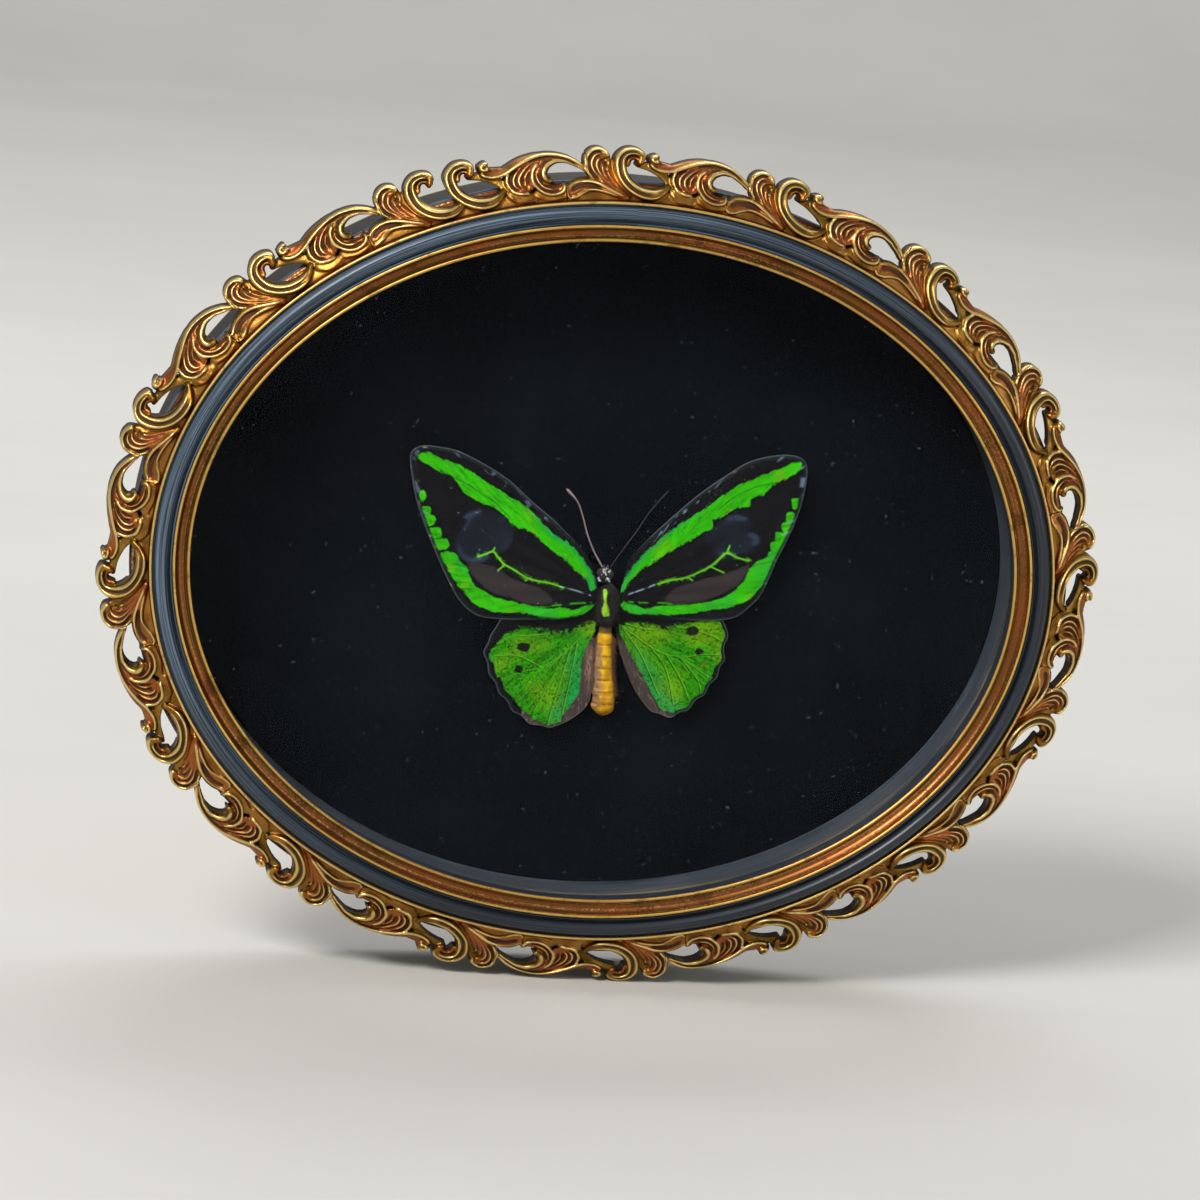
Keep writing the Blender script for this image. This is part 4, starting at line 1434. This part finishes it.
# The body, in the same mm: ellipsoids with a centre and half sizes, and lines through the abdomen
# and feelers. Girths are (share of length, radius); a feeler has its thin and club radii
insect = {
    "thorax": {"centre": (4.75, -14.15, 12.3), "half": (3.3, 6.8, 3.4)},
    "head": {"centre": (3.3, -4.9, 12.0), "half": (2.1, 2.3, 2.0)},
    "eyes": [(1.75, -4.0, 12.6), (4.85, -4.5, 12.6)],
    "eyeHalf": (1.1, 1.25, 1.15),
    "mark": [(2.9, -9.8), (3.4, -8.7), (4.1, -9.8), (3.9, -12.5), (5.1, -15.3), (4.9, -17.2),
      (3.5, -17.2), (2.8, -15.4), (3.3, -12.8)],
    "abdomen": [(4.9, -21.0, 12.0), (4.9, -24.5, 12.0), (5.0, -31.0, 12.0), (5.6, -38.0, 11.9),
      (6.1, -44.0, 11.8), (6.3, -49.3, 11.6)],
    "girths": [(0.0, 1.9), (0.12, 2.35), (0.27, 2.5), (0.42, 2.7), (0.58, 3.0), (0.72, 3.4),
      (0.84, 3.6), (0.92, 3.55), (1.0, 3.4)],
    "feelers": {
        "antenna_left": ([(2.1, -2.1, 13.0), (-0.9, 2.6, 13.4), (-3.4, 7.8, 14.0),
          (-5.4, 13.5, 14.2), (-7.4, 18.0, 14.3), (-11.1, 21.8, 14.2)], 0.20, 0.42, "8a7678"),
        "antenna_right": ([(4.7, -2.1, 13.0), (7.9, 3.6, 13.6), (11.7, 9.7, 14.0),
          (15.5, 16.5, 14.3), (20.6, 23.1, 14.2)], 0.11, 0.17, "2c282c"),
    },
}


def surfaceOf(centre, half, count, seed):
    # seeded places over the front of an ellipsoid, with the directions they face
    rng = np.random.default_rng(seed)
    way = unit(rng.normal(size=(count * 3, 3)))
    way = way[way[:, 2] > -0.2][:count]
    return np.asarray(centre) + way * half * 0.97, unit(way / half), rng


def chitinFinish():
    chitin = Finish("darkChitin")
    tint = chitin.shade("pattern", 0)
    grain = chitin.noise(1500.0, 3.0, 0.6)
    dusted = chitin.mix(0.05, tint, linear("a09a94"))
    base = chitin.mix(chitin.step(grain, 0.35, 0.75), tint, dusted)
    relief = chitin.bump(grain, 0.5, 0.0003)
    rough = 0.5 + grain * 0.2
    chitin.ready(basecolor=base, roughness=rough, specularIorLevel=0.22, normal=relief)
    return chitin


def makeThorax(chitin):
    # the yellow-green mark on its back, and a coat of short dark hair round the mark
    centre, half = insect["thorax"]["centre"], np.array(insect["thorax"]["half"])
    mark = curveThrough(insect["mark"], 80, True)
    places, faces = orb(centre, half, 60, 72, 0.16, 91)
    x, y = places[:, 0], places[:, 1]
    green = insideOf(x, y, mark) + 0.4 * (fuzz(x, y, 0.5, 92) - 0.5)
    green = between(green, -0.15, 0.15) * (places[:, 2] > centre[2])
    skin = over(plain("0c0b0d", len(places)), "84b414", green * 0.95)
    skin = over(skin, "4a7a10", green * between(fuzz(x, y, 0.6, 93), 0.55, 0.8) * 0.7)
    roots, aims, rng = surfaceOf(centre, half, 2300, 94)
    bare = insideOf(roots[:, 0], roots[:, 1], mark) > -0.1
    roots, aims = roots[~bare], aims[~bare]
    count = len(roots)
    aims = aims * 0.45 + np.array([0.0, -0.8, 0.25]) + rng.normal(scale=0.28, size=aims.shape)
    off = roots[:, 0] - centre[0]
    aims[:, 0] += 0.5 * np.sign(off) * (np.abs(off) > 1.6)
    coat = hairs(roots, aims, rng.uniform(0.8, 2.1, count), rng.uniform(0.025, 0.05, count))
    pale = np.repeat(rng.random(count) ** 6, strandPlaces)
    tone = blend(linear("0a090b"), linear("4a4038"), pale)
    places, faces = joined([(places, faces), coat])
    shades = {"pattern": np.vstack([skin, tone])}
    fit(putMesh("thoraxFur", places, faces, chitin, shades), "chitin", "thorax")


def makeHead(chitin):
    # the head itself, two eyes, two palps and a cover of dark and pale scales
    centre, half = insect["head"]["centre"], np.array(insect["head"]["half"])
    parts = [(orb(centre, half, 36, 44, 0.12, 95), "17141a")]
    for eye in insect["eyes"]:
        parts.append((orb(eye, insect["eyeHalf"], 26, 32), "221a1c"))
    for sideways in (-0.55, 0.55):
        palp = (centre[0] + sideways, -2.6, 12.2)
        parts.append((orb(palp, (0.35, 1.1, 0.4), 16, 18, 0.2, 96), "3a3032"))
    tones = [plain(colour, len(shape[0])) for shape, colour in parts]
    roots, aims, rng = surfaceOf(centre, half * 1.02, 420, 97)
    aims = aims * 0.6 + np.array([0.0, -0.5, 0.3]) + rng.normal(scale=0.3, size=aims.shape)
    pale = fuzz(roots[:, 0] * 2 + 7, roots[:, 1] * 2 + 40, 1.1, 98) > 0.58
    cover = hairs(roots, aims, rng.uniform(0.3, 0.8, len(roots)), np.where(pale, 0.14, 0.035))
    tones.append(blend(linear("17141a"), linear("d5d8d8"), np.repeat(1.0 * pale, strandPlaces)))
    places, faces = joined([shape for shape, _ in parts] + [cover])
    shades = {"pattern": np.vstack(tones)}
    fit(putMesh("headPiece", places, faces, chitin, shades), "chitin", "head")


def makeFeelers(chitin):
    # each a thin ringed tube that thickens into its club
    steps, around, thinnest = 90, 14, 0.05
    at = np.linspace(0, 1, steps)
    for node, (points, thin, club, colour) in insect["feelers"].items():
        girth = thin * (1.15 - 0.25 * at) + (club - thin) * between(at, 0.80, 0.95)
        girth = (girth + 0.018 * np.sin(at * 260.0)) * between(1.02 - at, 0.0, 0.05)
        places, faces = tube(curveThrough(points, steps), np.maximum(girth, thinnest), around)
        shades = {"pattern": plain(colour, len(places))}
        piece = putMesh(node.replace("_", "Feeler_"), places, faces, chitin, shades)
        fit(piece, "chitin", node)


def abdomenFinish():
    skin = Finish("yellowAbdomen")
    tint = skin.shade("pattern", 0)
    grain, fold = skin.noise(1300.0, 3.0, 0.6), skin.noise(420.0, 4.0, 0.6)
    base = skin.mix(skin.step(fold, 0.55, 0.75) * 0.35, tint, linear("6a4206"))
    relief = skin.bump(fold + grain * 0.3, 0.8, 0.0008)
    rough = 0.42 + grain * 0.2
    skin.ready(basecolor=base, roughness=rough, specularIorLevel=0.2, normal=relief)
    return skin


def makeAbdomen():
    # a tube with a groove at each segment and crumpled skin, tan down its left flank
    steps, around, segments = 170, 84, 7.6
    path, shape = curveThrough(insect["abdomen"], steps), curveThrough(insect["girths"], steps)
    at = np.linspace(0.0, 1.0, steps)
    close = np.clip((at - 0.86) / 0.14, 0.0, 1.0) ** 2.4
    girth = np.interp(at, shape[:, 0], shape[:, 1]) * np.maximum(1.0 - close, 0.03) ** 0.5

    def dent(i, turn):
        share = i / (steps - 1.0)
        waist = -0.20 * np.exp(-((((share * segments) % 1.0) - 0.5) / 0.10) ** 2)
        front = 0.55 * (fuzz(share * 30 + 9, 9 + 3.0 * np.cos(turn), 1.7, 101) - 0.5)
        rear = 0.65 * (fuzz(share * 30 + 5, 9 + 3.0 * np.sin(turn), 1.1, 102) - 0.5)
        crease = front * between(share, 0.25, 0.7) + rear * between(share, 0.5, 0.9)
        return (waist + crease) * between(np.minimum(share, 1 - share), 0.0, 0.06)

    places, faces = tube(path, girth, around, dent, 0.96)
    x, y = places[:, 0], places[:, 1]
    axis, reach, share = (np.interp(-y, -path[:, 1], line) for line in (path[:, 0], girth, at))
    side = (x - axis) / np.maximum(reach, 0.3)
    tone = over(plain("a87c03", len(places)), "d2a408", between(fuzz(x, y, 1.6, 103), 0.45, 0.8) * 0.7)
    amber = between(-30.0 - y, 6.0, 17.0) * between(fuzz(x, y, 1.2, 104), 0.35, 0.7)
    tone = over(tone, "96580c", amber * 0.75)
    seam = np.abs(((share * segments) % 1.0) - 0.5)
    tone = over(tone, "7a3e0c", between(seam, 0.09, 0.02) * 0.6)
    flank = between(-side + 0.35 * (fuzz(x, y, 2.0, 105) - 0.5), 0.22, 0.46)
    flank = flank * between(-y, 25.0, 29.0) * between(-y, 49.0, 44.0)
    tone = over(tone, "745843", flank * 0.85)
    tone = over(tone, "3c2616", between(side + 0.2 * (fuzz(x, y, 1.0, 106) - 0.5), 0.82, 0.97) * 0.7)
    tone = over(tone, "2c1c12", between(y, -23.6, -22.2) * 0.85)
    piece = putMesh("abdomenSkin", places, faces, abdomenFinish(), {"pattern": tone})
    fit(piece, "abdomen", "abdomen")
    makeTuft(path, girth, at)


def makeTuft(path, girth, at):
    # long brown hair beside the abdomen, rooted in its flanks
    rng = np.random.default_rng(107)
    many = 1000
    where = rng.uniform(0.08, 0.72, many)
    side = np.where(rng.random(many) < 0.62, 1.0, -1.0)
    core = np.stack([np.interp(where, at, path[:, k]) for k in range(3)], -1)
    flank = side * np.interp(where, at, girth) * 0.88
    roots = core + np.stack([flank, np.zeros(many), rng.uniform(-1.2, 0.8, many)], -1)
    aside, back = rng.uniform(0.3, 1.0, many), rng.uniform(0.6, 1.3, many)
    aims = np.stack([side * aside, -back, rng.uniform(-0.35, 0.25, many)], -1)
    lengths = rng.uniform(1.2, 3.4, many)
    sag = np.stack([side * 0.2, np.full(many, -0.3), np.full(many, -0.25)], -1)
    places, faces = hairs(roots, aims, lengths, rng.uniform(0.045, 0.085, many), sag)
    tuft = Finish("brownHair")
    base = tuft.mix(tuft.noise(900.0, 2.0, 0.5) * 0.4, tuft.shade("pattern", 0), linear("2a1a12"))
    tuft.ready(basecolor=base, roughness=0.5)
    red = rng.random(many) ** 1.5 * (side > 0) + 0.15
    grey = (side < 0) * rng.uniform(0.3, 1.0, many)
    tone = blend(linear("2a1c16"), linear("a0603c"), np.repeat(red, strandPlaces))
    tone = blend(tone, linear("8c7060"), np.repeat(grey, strandPlaces))
    fit(putMesh("abdomenHair", places, faces, tuft, {"pattern": tone}), "chitin")


makeWings()
chitin = chitinFinish()
makeThorax(chitin)
makeHead(chitin)
makeFeelers(chitin)
makeAbdomen()
print("birdwing spread")
